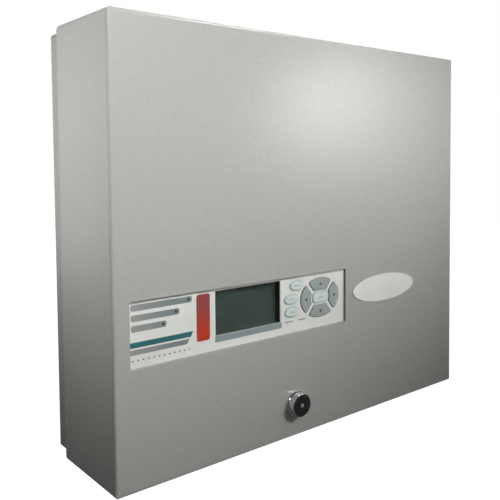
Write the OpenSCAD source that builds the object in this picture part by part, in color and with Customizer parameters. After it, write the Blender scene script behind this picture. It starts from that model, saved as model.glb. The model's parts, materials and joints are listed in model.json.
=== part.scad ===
// Wall-mounted fire alarm control panel: a deep hinged steel cover with a display, a key pad and a cam lock,
// over a shallow steel back box that holds the boards, the power supply and two standby batteries.
// Frame: +X right, +Z up, the wall is the plane y = 0 and the front faces -Y. Places on the cover's front
// are given as u from its left edge and v from its bottom edge. Millimetres.

/* [Enclosure] */
// Width of the cover
panel_w = 355; // [340:1:400]
// Height of the cover
panel_h = 310; // [300:1:360]
// Depth of the cover, front face to rear edge
cover_depth = 76.5; // [74:0.5:100]
// How far the back box shows behind the cover
rear_reveal = 20; // [19:0.5:30]
// Depth of the back box, wall to front edge
box_depth = 42; // [34:1:43]
// Thickness of the sheet steel
sheet_t = 1.2; // [1:0.1:1.6]
// Outside radius of the sheet bends
bend_r = 2.5; // [2:0.1:4]
// Gap between the walls of the cover and of the back box
cover_gap = 2; // [1.8:0.1:3]

/* [Wall fixing] */
// Distance of the fixing holes from the back box's sides
fixing_edge_x = 10.3; // [9.5:0.1:12]
// Distance of the fixing holes from the back box's top and bottom
fixing_edge_z = 19.8; // [16:0.1:26]
// Diameter of the fixing holes
fixing_hole_d = 6; // [4.5:0.5:7]
// Diameter of a cable knock-out
knockout_d = 20; // [16:0.5:25]
// Knock-outs along the top of the back
knockout_count = 8; // [2:1:9]
// Spacing of the knock-outs
knockout_pitch = 34; // [30:1:36]
// Width of the groove pressed round a knock-out
knockout_groove_w = 0.8; // [0.5:0.1:1.2]
// Steel left under that groove
knockout_skin = 0.4; // [0.2:0.1:0.6]
// Distance of the knock-outs from the top of the back box
knockout_drop = 26; // [20:1:30]

/* [Hinge] */
// Distance of the hinge axis from the cover's left face
hinge_inset = 9; // [8.5:0.1:11]
// Distance of the hinge axis from the wall
hinge_from_wall = 13; // [12:0.5:13.5]
// Radius of a hinge pin
pin_r = 2; // [1.5:0.1:2.2]
// Running clearance of a pin in its bush
pin_clearance = 0.05; // [0.02:0.01:0.1]
// Clearance of a pin in the cover's ear
pin_seat_clearance = 0.01; // [0.01:0.01:0.03]
// Wall of a hinge bush
bush_wall = 1.5; // [1:0.1:1.6]
// How far a bush's flange stands past its sleeve
bush_lip = 1.5; // [1:0.1:2.5]
// Play between an ear and the bush's flange
ear_play = 0.2; // [0.1:0.05:0.4]
// Radius of a hinge ear
ear_r = 5; // [4.5:0.1:5.5]
// Thickness of a hinge pin's head
pin_head_t = 1.2; // [0.8:0.1:2]
// How far a pin's head stands past the pin
pin_head_lip = 1.5; // [1:0.1:2]

/* [Window and fascia] */
// Left edge of the window in the cover
window_u = 12.2; // [12:0.1:16]
// Bottom edge of the window in the cover
window_v = 81.2; // [80:0.1:110]
// Gap between the key ring and the window's right edge
window_end_gap = 6.6; // [5:0.1:14]
// Gap between the display opening and the window's top edge
window_top_gap = 1.9; // [1.5:0.1:6]
// Corner radius of the window
window_r = 1.5; // [1:0.1:3]
// Thickness of the foam gasket behind the window
gasket_t = 1; // [0.8:0.1:1.5]
// Thickness of the keypad overlay
overlay_t = 0.7; // [0.5:0.1:1]
// How far the overlay and gasket reach past the window
overlay_margin = 4; // [3:0.1:4.2]
// Thickness of the fascia plate
fascia_t = 3; // [2.5:0.1:4]
// How far the fascia plate reaches past the window, sideways
fascia_margin_x = 8; // [6:0.1:9]
// Plastic left outside a fascia nut, up and down
fascia_rim = 0.7; // [0.5:0.1:3]
// Gap between a fascia stud and the overlay's edge
stud_gap = 0.7; // [0.4:0.1:2]
// Diameter of a fascia stud
stud_d = 3; // [2.5:0.1:3]
// Length of a fascia stud
stud_length = 9.5; // [8.5:0.1:12]

/* [Display] */
// Gap between the alarm window and the display opening
lcd_gap = 4.6; // [4:0.1:8]
// Height of the display opening above the window's bottom edge
lcd_rise = 10.1; // [9:0.1:14]
// Width of the display opening
lcd_w = 60; // [56:0.5:61]
// Height of the display opening
lcd_h = 32; // [28:0.5:33]
// Border of the clear window round the display opening
lcd_border = 3; // [2:0.1:3.5]
// Thickness of the clear display window
lcd_window_t = 1; // [0.8:0.1:2]
// Thickness of the display frame
lcd_frame_t = 5.4; // [4.5:0.1:6.5]
// Border of the display frame round the opening
lcd_frame_border = 4.2; // [4:0.1:4.6]
// Thickness of the display glass
lcd_glass_t = 2.8; // [2:0.1:3.5]
// Thickness of the circuit boards
board_t = 1.6; // [1:0.1:2]
// Gap between the window and the display board's edge
display_board_inset = 3; // [2:0.1:4]
// Distance of the display board's pillars from its edges
pillar_inset = 4; // [3.5:0.1:4.5]
// Radius of a display board pillar
pillar_r = 3; // [2.5:0.1:3.2]

/* [Lamps and alarm window] */
// Distance of the lowest status lamp from the window's left edge
lamp_inset = 25.4; // [10:0.1:40]
// Step of the status lamps across, going up
lamp_step_u = 10; // [9:0.1:10.5]
// Height of the lowest status lamp above the window's bottom edge
lamp_rise = 25.8; // [8:0.1:28]
// Step of the status lamps, going up
lamp_step_v = 6.8; // [6:0.1:7]
// Diameter of a status lamp
lamp_d = 3; // [2.5:0.1:3.2]
// Gap between the last status lamp and the alarm window
alarm_gap = 4.9; // [3:0.1:10]
// Height of the alarm window above the window's bottom edge
alarm_rise = 8.6; // [6:0.1:10]
// Width of the alarm window
alarm_w = 11; // [9:0.1:11.5]
// Height of the alarm window
alarm_h = 32.8; // [30:0.1:33]
// Corner radius of the alarm window
alarm_r = 2; // [1:0.1:4]
// Lip that holds the alarm window behind the overlay
alarm_lip = 1.2; // [0.8:0.1:1.5]
// Lamps behind the alarm window
alarm_lamp_count = 8; // [4:1:9]

/* [Keys] */
// Gap between the oval keys and the key ring
key_group_gap = 2.8; // [2.2:0.1:6]
// Height of the key ring's centre above the window's bottom edge
ring_rise = 23.9; // [20:0.1:27]
// Width of the key ring
ring_w = 42.4; // [40:0.1:43]
// Height of the key ring
ring_h = 32; // [30:0.1:33]
// Gap round the enter key in the key ring
enter_gap = 1.5; // [1.5:0.1:3]
// Gap between neighbouring keys of the ring
ring_gap = 3; // [1.7:0.1:3.5]
// Slope of those gaps
ring_slope = 1.26; // [1.1:0.02:1.4]
// Distance of their crossing from the key ring's centre
ring_split = 4.1; // [3:0.1:5]
// Rounding of the ring keys' corners
ring_corner = 1.6; // [1:0.1:2]
// Width of the enter key
enter_w = 17; // [15:0.1:19]
// Height of the enter key
enter_h = 9; // [8.4:0.1:10]
// Corner radius of the enter key
enter_r = 4; // [3:0.1:4.2]
// Gap between the display opening and the oval keys
oval_inset = 3.7; // [3.5:0.1:8]
// Gap between neighbouring oval keys
oval_gap = 1.65; // [1.4:0.05:3]
// Height of the middle oval key above the key ring's centre
oval_rise = 2.5; // [0:0.1:4]
// How far the top oval key stands to the right of the middle one
oval_top_shift = 5.7; // [0:0.1:8]
// How far the bottom oval key stands to the right of the middle one
oval_bottom_shift = 0.5; // [0:0.1:2]
// Width of an oval key
oval_w = 14; // [12:0.1:17]
// Height of an oval key
oval_h = 8.4; // [7:0.1:9.5]
// How far a key stands out of the overlay
key_rise = 0.6; // [0.6:0.1:1]
// Travel of a key
key_travel = 0.5; // [0.3:0.05:0.6]
// Gap round a key in the overlay
key_gap = 0.25; // [0.2:0.05:0.3]
// Lip that holds a key behind the overlay
key_lip = 0.55; // [0.45:0.05:0.6]
// Thickness of that lip
key_lip_t = 1.2; // [1:0.1:1.5]
// Radius of a key's stem
key_stem_r = 1.8; // [1.5:0.1:2]
// Rest gap between a key and what it meets
key_play = 0.1; // [0.05:0.05:0.2]

/* [Lock] */
// How far the lock stands to the left of the cover's middle
lock_offset = 24.5; // [10:0.5:30]
// Centre of the lock, up
lock_v = 26; // [26:0.5:29]
// Diameter of the lock's head
lock_head_d = 18; // [17.5:0.1:20]
// Height of the lock's head
lock_head_h = 7.5; // [6:0.1:9]
// Diameter of the lock's barrel
barrel_d = 16; // [15:0.1:16.5]
// Width across the barrel's flats
barrel_flats = 13.8; // [13.4:0.1:14.4]
// Length of the barrel behind the cover's front face
barrel_length = 17.3; // [15:0.1:18]
// Radius of the lock's plug
plug_r = 5.5; // [5:0.1:5.6]
// Radius of the plug's shaft
plug_shaft_r = 4; // [3.8:0.1:4.2]
// Radius of the plug's nose, seen in the lock's face
plug_nose_r = 2.6; // [2.4:0.1:4]
// Width of the key slot
key_slot_w = 1; // [0.8:0.1:2]
// Height of the key slot
key_slot_h = 3.4; // [3:0.1:4.4]
// Depth of the key slot
key_slot_depth = 9; // [6:0.5:10]
// Thickness of the black face ring
face_ring_t = 0.8; // [0.5:0.1:1]
// Length of the cam from the lock's axis
cam_length = 20; // [19:0.5:21]
// Width of the cam
cam_w = 12; // [10:0.5:12]
// Thickness of the cam
cam_t = 1.6; // [1.2:0.1:2]
// Width of the square drive in the cam
drive_w = 5; // [4.6:0.1:5.2]
// Gap between the cam and the catch's lip
catch_gap = 1; // [0.6:0.1:1.4]
// Width of the catch
catch_w = 12; // [11:0.5:13]
// Thickness of the catch
catch_t = 2; // [1.5:0.1:2.5]
// Gap between the hanging cam and the catch's side
catch_side_gap = 6; // [5:0.5:6.5]

/* [Badge] */
// Gap between the window and the oval badge
badge_gap = 8; // [4:0.1:40]
// Centre of the oval badge, up
badge_v = 104.2; // [60:0.1:200]
// Width of the badge
badge_w = 79; // [60:0.5:84]
// Height of the badge
badge_h = 23.2; // [18:0.1:30]
// Thickness of the badge
badge_t = 0.8; // [0.6:0.1:1.5]
// Width of the badge's raised rim
badge_rim_w = 1; // [0.6:0.1:2]

/* [Boards] */
// Space for wiring above the boards
wiring_space = 45; // [40:1:50]
// Height of the boards off the back
standoff_h = 10; // [8:0.5:14]
// Gap between the two boards
board_gap = 17.2; // [8:0.1:30]
// Height of the main board
main_board_h = 165; // [150:1:170]
// Width of the power board
power_board_w = 86; // [80:1:92]
// Height of the power board
power_board_h = 150; // [140:1:160]
// Distance of a board from the box's side wall
board_side_gap = 14; // [12:0.5:18]
// Distance of a board's fixings from its edges
fixing_inset = 5; // [4.5:0.5:7]
// Pitch of the terminals
terminal_pitch = 5.08; // [5:0.01:5.2]
// Terminals in one block
block_ways = 4; // [2:1:4]
// Distance of the terminal row from the board's ends, at least
block_end_gap = 12; // [10:0.5:40]

/* [Batteries] */
// Room between the right battery and the box's side wall
battery_end_gap = 34.3; // [32:0.1:60]
// Gap between the battery strap and the lock's cam screw
cam_clear = 3.3; // [2:0.1:12]
// Height of a battery's case
battery_h = 60; // [50:1:68]
// Height of a battery's terminals
battery_tab_h = 6; // [5:0.5:8]
// Gap between a battery and what stands beside it
battery_gap = 1.8; // [1:0.1:4]
// Width of the battery strap
strap_w = 14; // [10:0.5:16]
// Thickness of the battery strap
strap_t = 1.5; // [1:0.1:2]
// Height of the strap's middle above the box's floor
strap_v = 36; // [34:0.5:40]
// Length of a strap foot
strap_foot = 9; // [8:0.5:9.5]

/* [Hidden] */
$fn = 64;
// Overrun of a cut past the surface it opens
cut = 1;
// Clearance of a part that is fixed in its hole
fit_gap = 0.1;

// Clearance of a part that stands against another
seat_gap = 0.3;

// Main planes and inner sizes
front_y = -(cover_depth + rear_reveal);
cover_in_y = front_y + sheet_t;
box_w = panel_w - 2 * (sheet_t + cover_gap);
box_h = panel_h - 2 * (sheet_t + cover_gap);
box_in_x = box_w / 2 - sheet_t;
box_in_z = box_h / 2 - sheet_t;
inner_bend_r = bend_r - sheet_t;
fixing_spacing_x = box_w - 2 * fixing_edge_x;
fixing_spacing_z = box_h - 2 * fixing_edge_z;

// Hinge
hinge_x = -panel_w / 2 + hinge_inset;
hinge_y = -hinge_from_wall;
bush_r = pin_r + pin_clearance + bush_wall;
bush_flange_t = cover_gap - ear_play;
bush_tail = 2.5;

// Stack behind the window, front to rear
overlay_y = cover_in_y + gasket_t;
fascia_y = overlay_y + overlay_t;
fascia_rear_y = fascia_y + fascia_t;
lcd_frame_y = fascia_rear_y + lcd_window_t;
lcd_board_y = lcd_frame_y + lcd_frame_t;
display_board_y = lcd_board_y + board_t;
display_rear_y = display_board_y + board_t;

// Places across the window, left to right
lamp_count = 3;
lamp_u = window_u + lamp_inset;
alarm_u = lamp_u + (lamp_count - 1) * lamp_step_u + lamp_d / 2 + alarm_gap;
lcd_u = alarm_u + alarm_w + lcd_gap;
oval_u = lcd_u + lcd_w + oval_inset + oval_w / 2;
ring_u = oval_u + oval_w / 2 + key_group_gap + ring_w / 2;
window_w = ring_u + ring_w / 2 + window_end_gap - window_u;
badge_u = window_u + window_w + badge_gap + badge_w / 2;

// Places up the window
lamp_v = window_v + lamp_rise;
alarm_v = window_v + alarm_rise;
lcd_v = window_v + lcd_rise;
ring_v = window_v + ring_rise;
oval_v = ring_v + oval_rise;
oval_pitch = oval_h + oval_gap;
window_h = lcd_rise + lcd_h + window_top_gap;

// Sizes of the pieces behind the window
window_cu = window_u + window_w / 2;
window_cv = window_v + window_h / 2;
display_board_w = window_w - 2 * display_board_inset;
display_board_h = window_h - 2 * display_board_inset;
lcd_cu = lcd_u + lcd_w / 2;
lcd_cv = lcd_v + lcd_h / 2;
lcd_board_border = 7.5;
lcd_frame_lip = 0.8;
fascia_corner_r = 3;
nut_t = 2.4;
nut_r = 3.1;
stud_offset = overlay_margin + stud_d / 2 + stud_gap;
fascia_margin_z = stud_offset + nut_r + fascia_rim;
pillar_screw_r = 1.2;
pillar_bore_depth = 6;
lamp_flange = 0.4;
lamp_dome = 0.2;
lamp_spacer_y = fascia_rear_y + 2.3;
alarm_led_w = 2.8;
alarm_led_h = 1.8;
alarm_led_t = 6;
alarm_led_inset = 3;

// Keys
oval_keys = [[oval_u + oval_top_shift, oval_v + oval_pitch], [oval_u, oval_v],
    [oval_u + oval_bottom_shift, oval_v - oval_pitch]];
corner_steps = 24;
ring_hole_w = enter_w + 2 * enter_gap;
ring_hole_h = enter_h + 2 * enter_gap;
stem_ring_x = (ring_w + ring_hole_w) / 4;
stem_ring_z = (ring_h + ring_hole_h) / 4;
key_front_y = overlay_y - key_rise;
key_lip_y = fascia_y + key_play;
switch_top_y = fascia_rear_y + 0.6;
switch_w = 6;
switch_h = 3.6;
switch_plunger_r = 1.75;
key_stem_end_y = switch_top_y - key_travel - key_play;

// Lock
lock_x = -lock_offset;
lock_u = panel_w / 2 - lock_offset;
lock_z = lock_v - panel_h / 2;
lock_face_y = front_y - lock_head_h;
lock_rim_w = 0.6;
lock_edge = 0.5;
lock_flange_w = 0.8;
lock_flange_r = lock_head_d / 2 + lock_flange_w;
lock_flange_t = 2.2;
lock_flange_edge = 0.8;
lock_face_r = lock_head_d / 2 - lock_rim_w;
plug_step_depth = 9;
plug_step_y = front_y + plug_step_depth;
plug_overrun = 0.5;
plug_end_y = front_y + barrel_length + plug_overrun;
plug_nose_h = 2;
plug_shoulder_y = lock_face_y + face_ring_t + seat_gap;
cam_y = plug_end_y + fit_gap;
cam_hub_r = 7.5;
cam_screw_r = 2;
cam_screw_length = 6;
cam_screw_head_r = 4;
cam_screw_head_t = 2.2;
cam_corner_r = 2;
lock_nut_t = 4;
lock_nut_r = 12.4;
catch_x = lock_x + cam_w / 2 + catch_side_gap;
catch_lip_y = cam_y - catch_gap - catch_t;
catch_root_y = -12;
catch_over_cam = 2;
catch_top_z = lock_z + cam_w / 2 + catch_over_cam;
catch_screw_inset = 7;
catch_screw_pitch = 14;
bracket_screw_r = 2;
gusset_reach = 30;
gusset_tip = 1;

// Boards
back_y = -sheet_t;
board_y = back_y - standoff_h - board_t;
board_top_z = box_in_z - wiring_space;
board_corner_r = 2;
main_board_x = -box_in_x + board_side_gap;
power_board_x = box_in_x - board_side_gap - power_board_w;
main_board_w = power_board_x - board_gap - main_board_x;
main_board_z = board_top_z - main_board_h;
power_board_z = board_top_z - power_board_h;
board_hole_r = 1.6;
screw_head_r = 3;
screw_head_t = 2;
board_screw_grip = 5;
standoff_r = 4;
block_w = block_ways * terminal_pitch;
block_count = floor((main_board_w - 2 * block_end_gap) / block_w);
block_edge_gap = 1;
terminal_depth = 10;
terminal_height = 12;
terminal_side_gap = 0.2;
terminal_well_r = 1.8;
terminal_well_depth = 5;
terminal_mouth_w = 3.4;
terminal_mouth_h = 4.4;

// Parts on the main board, from its left or right edge and its bottom or top edge
relay_w = 19;
relay_d = 15.5;
relay_h = 15.5;
relay_count = 4;
relay_pitch = 24;
relay_left = 40;
relay_drop = 32;
chip_t = 2.2;
chip_lift = 0.4;
chip_lead_w = 0.5;
chip_lead_length = 1.2;
chip_dimple_r = 0.7;
// Each chip: from the left, from the bottom, width, height, leads on a side, their pitch
chips = [[105, 82, 24, 24, 14, 1.4], [60, 80, 9, 18, 10, 1.6], [60, 50, 9, 18, 10, 1.6],
    [105, 46, 8, 12, 6, 1.8]];
small_cap_d = 10;
small_cap_h = 16;
small_cap_count = 3;
small_cap_pitch = 15;
small_cap_right = 65;
small_cap_up = 22;
cap_crimp = 0.5;
cap_crimp_h = 2.2;
cap_edge = 0.6;
sounder_d = 24;
sounder_h = 12;
sounder_port_r = 2;
sounder_port_depth = 6;
sounder_ring_r = 4;
sounder_groove_r = 9;
sounder_groove = 0.8;
sounder_edge = 0.5;
sounder_right = 33;
sounder_up = 96;
header_columns = 10;
header_pitch = 2.54;
header_end = 6;
header_d = 9;
header_h = 9;
header_wall = 1.2;
header_floor = 2;
header_key_w = 4;
header_pin_w = 0.64;
header_pin_h = 5.5;
header_left = 60;
header_up = 14;
fuse_length = 24;
fuse_r = 2.62;
fuse_axis_h = 6;
fuse_clip_pitch = 18;
fuse_clip_w = 6;
fuse_clip_h = 9;
fuse_clip_t = 0.8;
fuse_clip_gap = 3;
fuse_base_t = 1;
fuse_count = 2;
fuse_pitch = 14;
fuse_right = 25;
fuse_up = 48;

// Parts on the power board, from its left or right edge and its bottom or top edge
large_cap_d = 22;
large_cap_h = 30;
large_cap_left = 22;
large_cap_drop = 38;
middle_cap_d = 12.5;
middle_cap_h = 22;
middle_cap_count = 2;
middle_cap_pitch = 16;
middle_cap_left = 20;
middle_cap_up = 22;
power_fuse_right = 20;
power_fuse_up = 44;
core_w = 40;
core_h = 34;
core_t = 12;
core_lift = 9;
limb_w = 12;
core_window_w = 8.4;
core_window_h = 20;
coil_gap = 0.3;
coil_d = 30;
coil_corner_r = 3;
core_left = 52;
core_up = 72;
sink_d = 28;
sink_base_t = 3;
sink_fin_l = 12;
sink_fin_t = 1.4;
sink_fin_count = 7;
sink_fin_pitch = 4;
sink_right = 16;
sink_gap = 7;
sink_top_gap = 14;
sink_up = core_up + core_h / 2 + sink_gap;
sink_h = power_board_h - sink_up - sink_top_gap;

// Batteries
battery_z = -box_in_z;
battery_right_x = catch_x + catch_w + battery_gap;
battery_l = box_in_x - battery_end_gap - battery_right_x;
battery_left_x = catch_x - battery_gap - battery_l;
battery_y = back_y - inner_bend_r - seat_gap;
battery_front_y = cam_y + cam_t + cam_screw_head_t + cam_clear + strap_t + seat_gap;
battery_w = battery_y - battery_front_y;
battery_lid_h = 9;
battery_lid_inset = 0.8;
battery_corner_r = 2;
tab_w = 4.8;
tab_t = 0.8;
tab_hole_r = 0.8;
tab_hole_drop = 2;
tab_inset = 12;
tab_front_inset = 14;
strap_z = battery_z + strap_v;
strap_clear = 0.4;
strap_left_x = battery_left_x - strap_clear;
strap_right_x = battery_right_x + battery_l + strap_clear;
strap_y = battery_front_y - seat_gap;

// Mains terminal and earth studs
mains_w = 22;
mains_h = 30;
mains_d = 16;
mains_corner_r = 1.5;
mains_side_gap = 5;
mains_ways = 3;
mains_pitch = 9.5;
mains_screw_r = 2.4;
mains_screw_x = 6;
mains_screw_depth = 8;
mains_wire_w = 3.6;
mains_wire_y = 7;
mains_above_battery = 2;
mains_x = box_in_x - mains_side_gap - mains_w / 2;
earth_v = 36;
earth_r = 2.5;
earth_length = 16;
washer_r = 5;
washer_t = 1.2;
earth_nut_r = 4.6;
earth_nut_t = 4;
cover_earth_u = 24;
cover_earth_v = 40;
cover_earth_r = 2;
cover_earth_length = 12;

// Colours
cover_grey = [0.76, 0.76, 0.74];
off_white = [0.84, 0.83, 0.81];
board_green = [0.10, 0.36, 0.22];
black = [0.08, 0.08, 0.09];
steel = [0.72, 0.73, 0.75];
key_grey = [0.52, 0.54, 0.55];
key_mint = [0.72, 0.84, 0.79];

// Moves to a place on the cover's front
module at_face(u, v) translate([u - panel_w / 2, 0, v - panel_h / 2]) children();

// Raises a flat shape, drawn as X and Z, from y0 towards the wall
module slab(y0, t) translate([0, y0 + t, 0]) rotate([90, 0, 0]) linear_extrude(t) children();

// Extrudes a flat shape, drawn as Y and Z, along X from x0
module bar_x(x0, length) translate([x0, 0, 0]) rotate([90, 0, 90]) linear_extrude(length) children();

// Turns a profile, drawn as radius and distance from the front, about an axis along Y
module turned() rotate([-90, 0, 0]) rotate_extrude() children();

module rod(y0, length, r) translate([0, y0, 0]) rotate([-90, 0, 0]) cylinder(h = length, r = r);

module hex_rod(y0, length, r) translate([0, y0, 0]) rotate([-90, 0, 0]) cylinder(h = length, r = r, $fn = 6);

module round_rect(w, h, r) {
    square([w - 2 * r, h], center = true);
    square([w, h - 2 * r], center = true);
    for (x = [-1, 1], z = [-1, 1]) translate([x * (w / 2 - r), z * (h / 2 - r)]) circle(r);
}

module oval(w, h) scale([w / h, 1]) circle(d = h);

// Pan head screw whose head bears on y = 0 and whose shank runs towards the wall
module screw(shank_r, length, head_r, head_t) {
    turned() polygon([[0, -head_t], [head_r * 0.7, -head_t], [head_r, -head_t * 0.5], [head_r, 0],
        [shank_r, 0], [shank_r, length], [0, length]]);
}

// Cross-section of a folded pan: a floor on y = 0 with two bends
module pan_profile(w, d, r) {
    translate([-w / 2, r]) square([w, d - r]);
    translate([-w / 2 + r, 0]) square([w - 2 * r, d]);
    for (x = [-1, 1]) translate([x * (w / 2 - r), r]) circle(r);
}

module pan_solid(w, h, d, r) {
    intersection() {
        linear_extrude(h, center = true) pan_profile(w, d, r);
        rotate([0, 90, 0]) linear_extrude(w, center = true) pan_profile(h, d, r);
    }
}

// Folded sheet pan with its floor on y = 0 and its walls towards +Y
module pan(w, h, d) {
    difference() {
        pan_solid(w, h, d, bend_r);
        translate([0, sheet_t, 0]) pan_solid(w - 2 * sheet_t, h - 2 * sheet_t, d, inner_bend_r);
    }
}

// Hinge pieces, drawn for the top and mirrored for the bottom
module at_hinges() for (side = [0, 1]) mirror([0, 0, side]) translate([hinge_x, hinge_y, 0]) children();

module at_fixings() {
    for (x = [-0.5, 0.5], z = [-0.5, 0.5])
        translate([x * fixing_spacing_x, 0, z * fixing_spacing_z]) children();
}

module knockout_groove() {
    difference() {
        rod(-sheet_t + knockout_skin, sheet_t, knockout_d / 2 + knockout_groove_w);
        rod(-sheet_t, sheet_t + cut, knockout_d / 2);
    }
}

module back_box() color(cover_grey) {
    difference() {
        mirror([0, 1, 0]) pan(box_w, box_h, box_depth);
        at_fixings() rod(-sheet_t - cut, sheet_t + 2 * cut, fixing_hole_d / 2);
        for (i = [0 : knockout_count - 1])
            translate([(i - (knockout_count - 1) / 2) * knockout_pitch, 0, box_h / 2 - knockout_drop])
                knockout_groove();
        at_hinges() translate([0, 0, box_in_z - cut]) cylinder(h = sheet_t + 2 * cut, r = bush_r);
        at_catch_screws() cylinder(h = 2 * sheet_t + cut, r = bracket_screw_r, center = true);
        at_strap_screws() rod(-sheet_t - cut, sheet_t + 2 * cut, bracket_screw_r);
    }
}

module hinge_bushes() color(off_white) at_hinges() translate([0, 0, box_in_z - bush_tail]) {
    difference() {
        union() {
            cylinder(h = bush_tail + sheet_t, r = bush_r - pin_seat_clearance);
            translate([0, 0, bush_tail + sheet_t]) cylinder(h = bush_flange_t, r = bush_r + bush_lip);
        }
        translate([0, 0, -cut]) cylinder(h = panel_h, r = pin_r + pin_clearance);
    }
}

module hinge_pins() color(steel) at_hinges() {
    translate([0, 0, box_in_z - bush_tail]) cylinder(h = panel_h / 2 - box_in_z + bush_tail, r = pin_r);
    translate([0, 0, panel_h / 2]) cylinder(h = pin_head_t, r = pin_r + pin_head_lip);
}

// Screws that hold the catch, along the box's floor
module at_catch_screws() {
    for (i = [0, 1])
        translate([catch_x + catch_w / 2, catch_root_y - catch_screw_inset - i * catch_screw_pitch,
            -box_in_z]) children();
}

// Angle that stands on the box's floor, with a lip in front of the turned cam and a gusset
module lock_catch() color(steel) difference() {
    union() {
        bar_x(catch_x, catch_w) {
            translate([catch_lip_y, -box_in_z]) square([catch_root_y - catch_lip_y, catch_t]);
            translate([catch_lip_y, -box_in_z]) square([catch_t, catch_top_z + box_in_z]);
        }
        bar_x(catch_x + catch_w - catch_t, catch_t)
            polygon([[catch_lip_y, -box_in_z], [catch_lip_y, catch_top_z],
                [catch_lip_y + catch_t + gusset_tip, catch_top_z],
                [catch_lip_y + gusset_reach, -box_in_z + catch_t],
                [catch_lip_y + gusset_reach, -box_in_z]]);
    }
    at_catch_screws() cylinder(h = 2 * catch_t + cut, r = bracket_screw_r, center = true);
}

module at_strap_screws() {
    for (x = [strap_left_x - strap_t - strap_foot / 2, strap_right_x + strap_t + strap_foot / 2])
        translate([x, 0, strap_z]) children();
}

module bracket_screws() color(steel) {
    at_catch_screws() translate([0, 0, catch_t]) rotate([-90, 0, 0])
        screw(bracket_screw_r - fit_gap, catch_t + sheet_t, screw_head_r, screw_head_t);
    at_strap_screws() translate([0, back_y - strap_t, 0])
        screw(bracket_screw_r - fit_gap, strap_t + sheet_t, screw_head_r, screw_head_t);
}

module battery_strap() color(steel) difference() {
    slab_strap();
    at_strap_screws() rod(back_y - strap_t - cut, strap_t + 2 * cut, bracket_screw_r);
}

// Strap across the batteries, with a leg and a foot at each end
module slab_strap() translate([0, 0, strap_z - strap_w / 2]) linear_extrude(strap_w) {
    translate([strap_left_x - strap_t, strap_y - strap_t])
        square([strap_right_x - strap_left_x + 2 * strap_t, strap_t]);
    for (x = [strap_left_x - strap_t, strap_right_x])
        translate([x, strap_y - strap_t]) square([strap_t, back_y - strap_y + strap_t]);
    for (x = [strap_left_x - strap_t - strap_foot, strap_right_x])
        translate([x, back_y - strap_t]) square([strap_foot + strap_t, strap_t]);
}

// Sealed battery with a stepped lid
module battery(x) translate([x + battery_l / 2, battery_y - battery_w / 2, battery_z]) {
    linear_extrude(battery_h - battery_lid_h) round_rect(battery_l, battery_w, battery_corner_r);
    linear_extrude(battery_h)
        round_rect(battery_l - 2 * battery_lid_inset, battery_w - 2 * battery_lid_inset, battery_corner_r);
}

module battery_left() color(black) battery(battery_left_x);

module battery_right() color(black) battery(battery_right_x);

module battery_terminals() color(steel) {
    for (x = [battery_left_x, battery_right_x], end = [tab_inset, battery_l - tab_inset])
        translate([x + end, battery_front_y + tab_front_inset, battery_z + battery_h]) difference() {
            translate([-tab_t / 2, -tab_w / 2, 0]) cube([tab_t, tab_w, battery_tab_h]);
            translate([-cut, 0, battery_tab_h - tab_hole_drop]) rotate([0, 90, 0])
                cylinder(h = 2 * cut, r = tab_hole_r);
        }
}

// Places at a board's four corners, inset
module at_corners(x, z, w, h) {
    for (i = [fixing_inset, w - fixing_inset], k = [fixing_inset, h - fixing_inset])
        translate([x + i, 0, z + k]) children();
}

module at_board_fixings() {
    at_corners(main_board_x, main_board_z, main_board_w, main_board_h) children();
    at_corners(power_board_x, power_board_z, power_board_w, power_board_h) children();
}

module circuit_board(x, z, w, h) difference() {
    slab(board_y, board_t) translate([x + w / 2, z + h / 2]) round_rect(w, h, board_corner_r);
    at_corners(x, z, w, h) rod(board_y - cut, board_t + 2 * cut, board_hole_r);
}

module main_board() color(board_green) circuit_board(main_board_x, main_board_z, main_board_w, main_board_h);

module power_board() color(board_green)
    circuit_board(power_board_x, power_board_z, power_board_w, power_board_h);

module board_standoffs() color(steel) at_board_fixings() difference() {
    hex_rod(back_y - standoff_h, standoff_h, standoff_r);
    rod(back_y - standoff_h - cut, standoff_h, board_hole_r);
}

module board_screws() color(steel) at_board_fixings() translate([0, board_y, 0])
    screw(board_hole_r - fit_gap, board_t + board_screw_grip, screw_head_r, screw_head_t);

// Screw terminal block on a board's face, wires entering from above
module terminal_block(ways) {
    width = ways * terminal_pitch - terminal_side_gap;
    difference() {
        bar_x(terminal_side_gap / 2, width)
            polygon([[0, 0], [-terminal_height, 0], [-terminal_height, terminal_depth * 0.55],
                [-terminal_height * 0.62, terminal_depth], [0, terminal_depth]]);
        for (i = [0 : ways - 1]) translate([(i + 0.5) * terminal_pitch, 0, 0]) {
            translate([0, 0, terminal_depth * 0.3])
                rod(-terminal_height - cut, terminal_well_depth + cut, terminal_well_r);
            translate([-terminal_mouth_w / 2, -terminal_height * 0.55, terminal_depth * 0.5])
                cube([terminal_mouth_w, terminal_mouth_h, terminal_depth]);
        }
    }
}

module terminal_blocks() color([0.2, 0.5, 0.3]) {
    row_x = main_board_x + main_board_w / 2 - block_count * block_w / 2;
    row_z = main_board_z + main_board_h - terminal_depth - block_edge_gap;
    for (i = [0 : block_count - 1])
        translate([row_x + i * block_w, board_y, row_z]) terminal_block(block_ways);
}

module relays() color([0.9, 0.9, 0.88]) for (i = [0 : relay_count - 1])
    translate([main_board_x + relay_left + i * relay_pitch, 0, main_board_z + main_board_h - relay_drop])
        slab(board_y - relay_h, relay_h) round_rect(relay_w, relay_d, 1);

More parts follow.
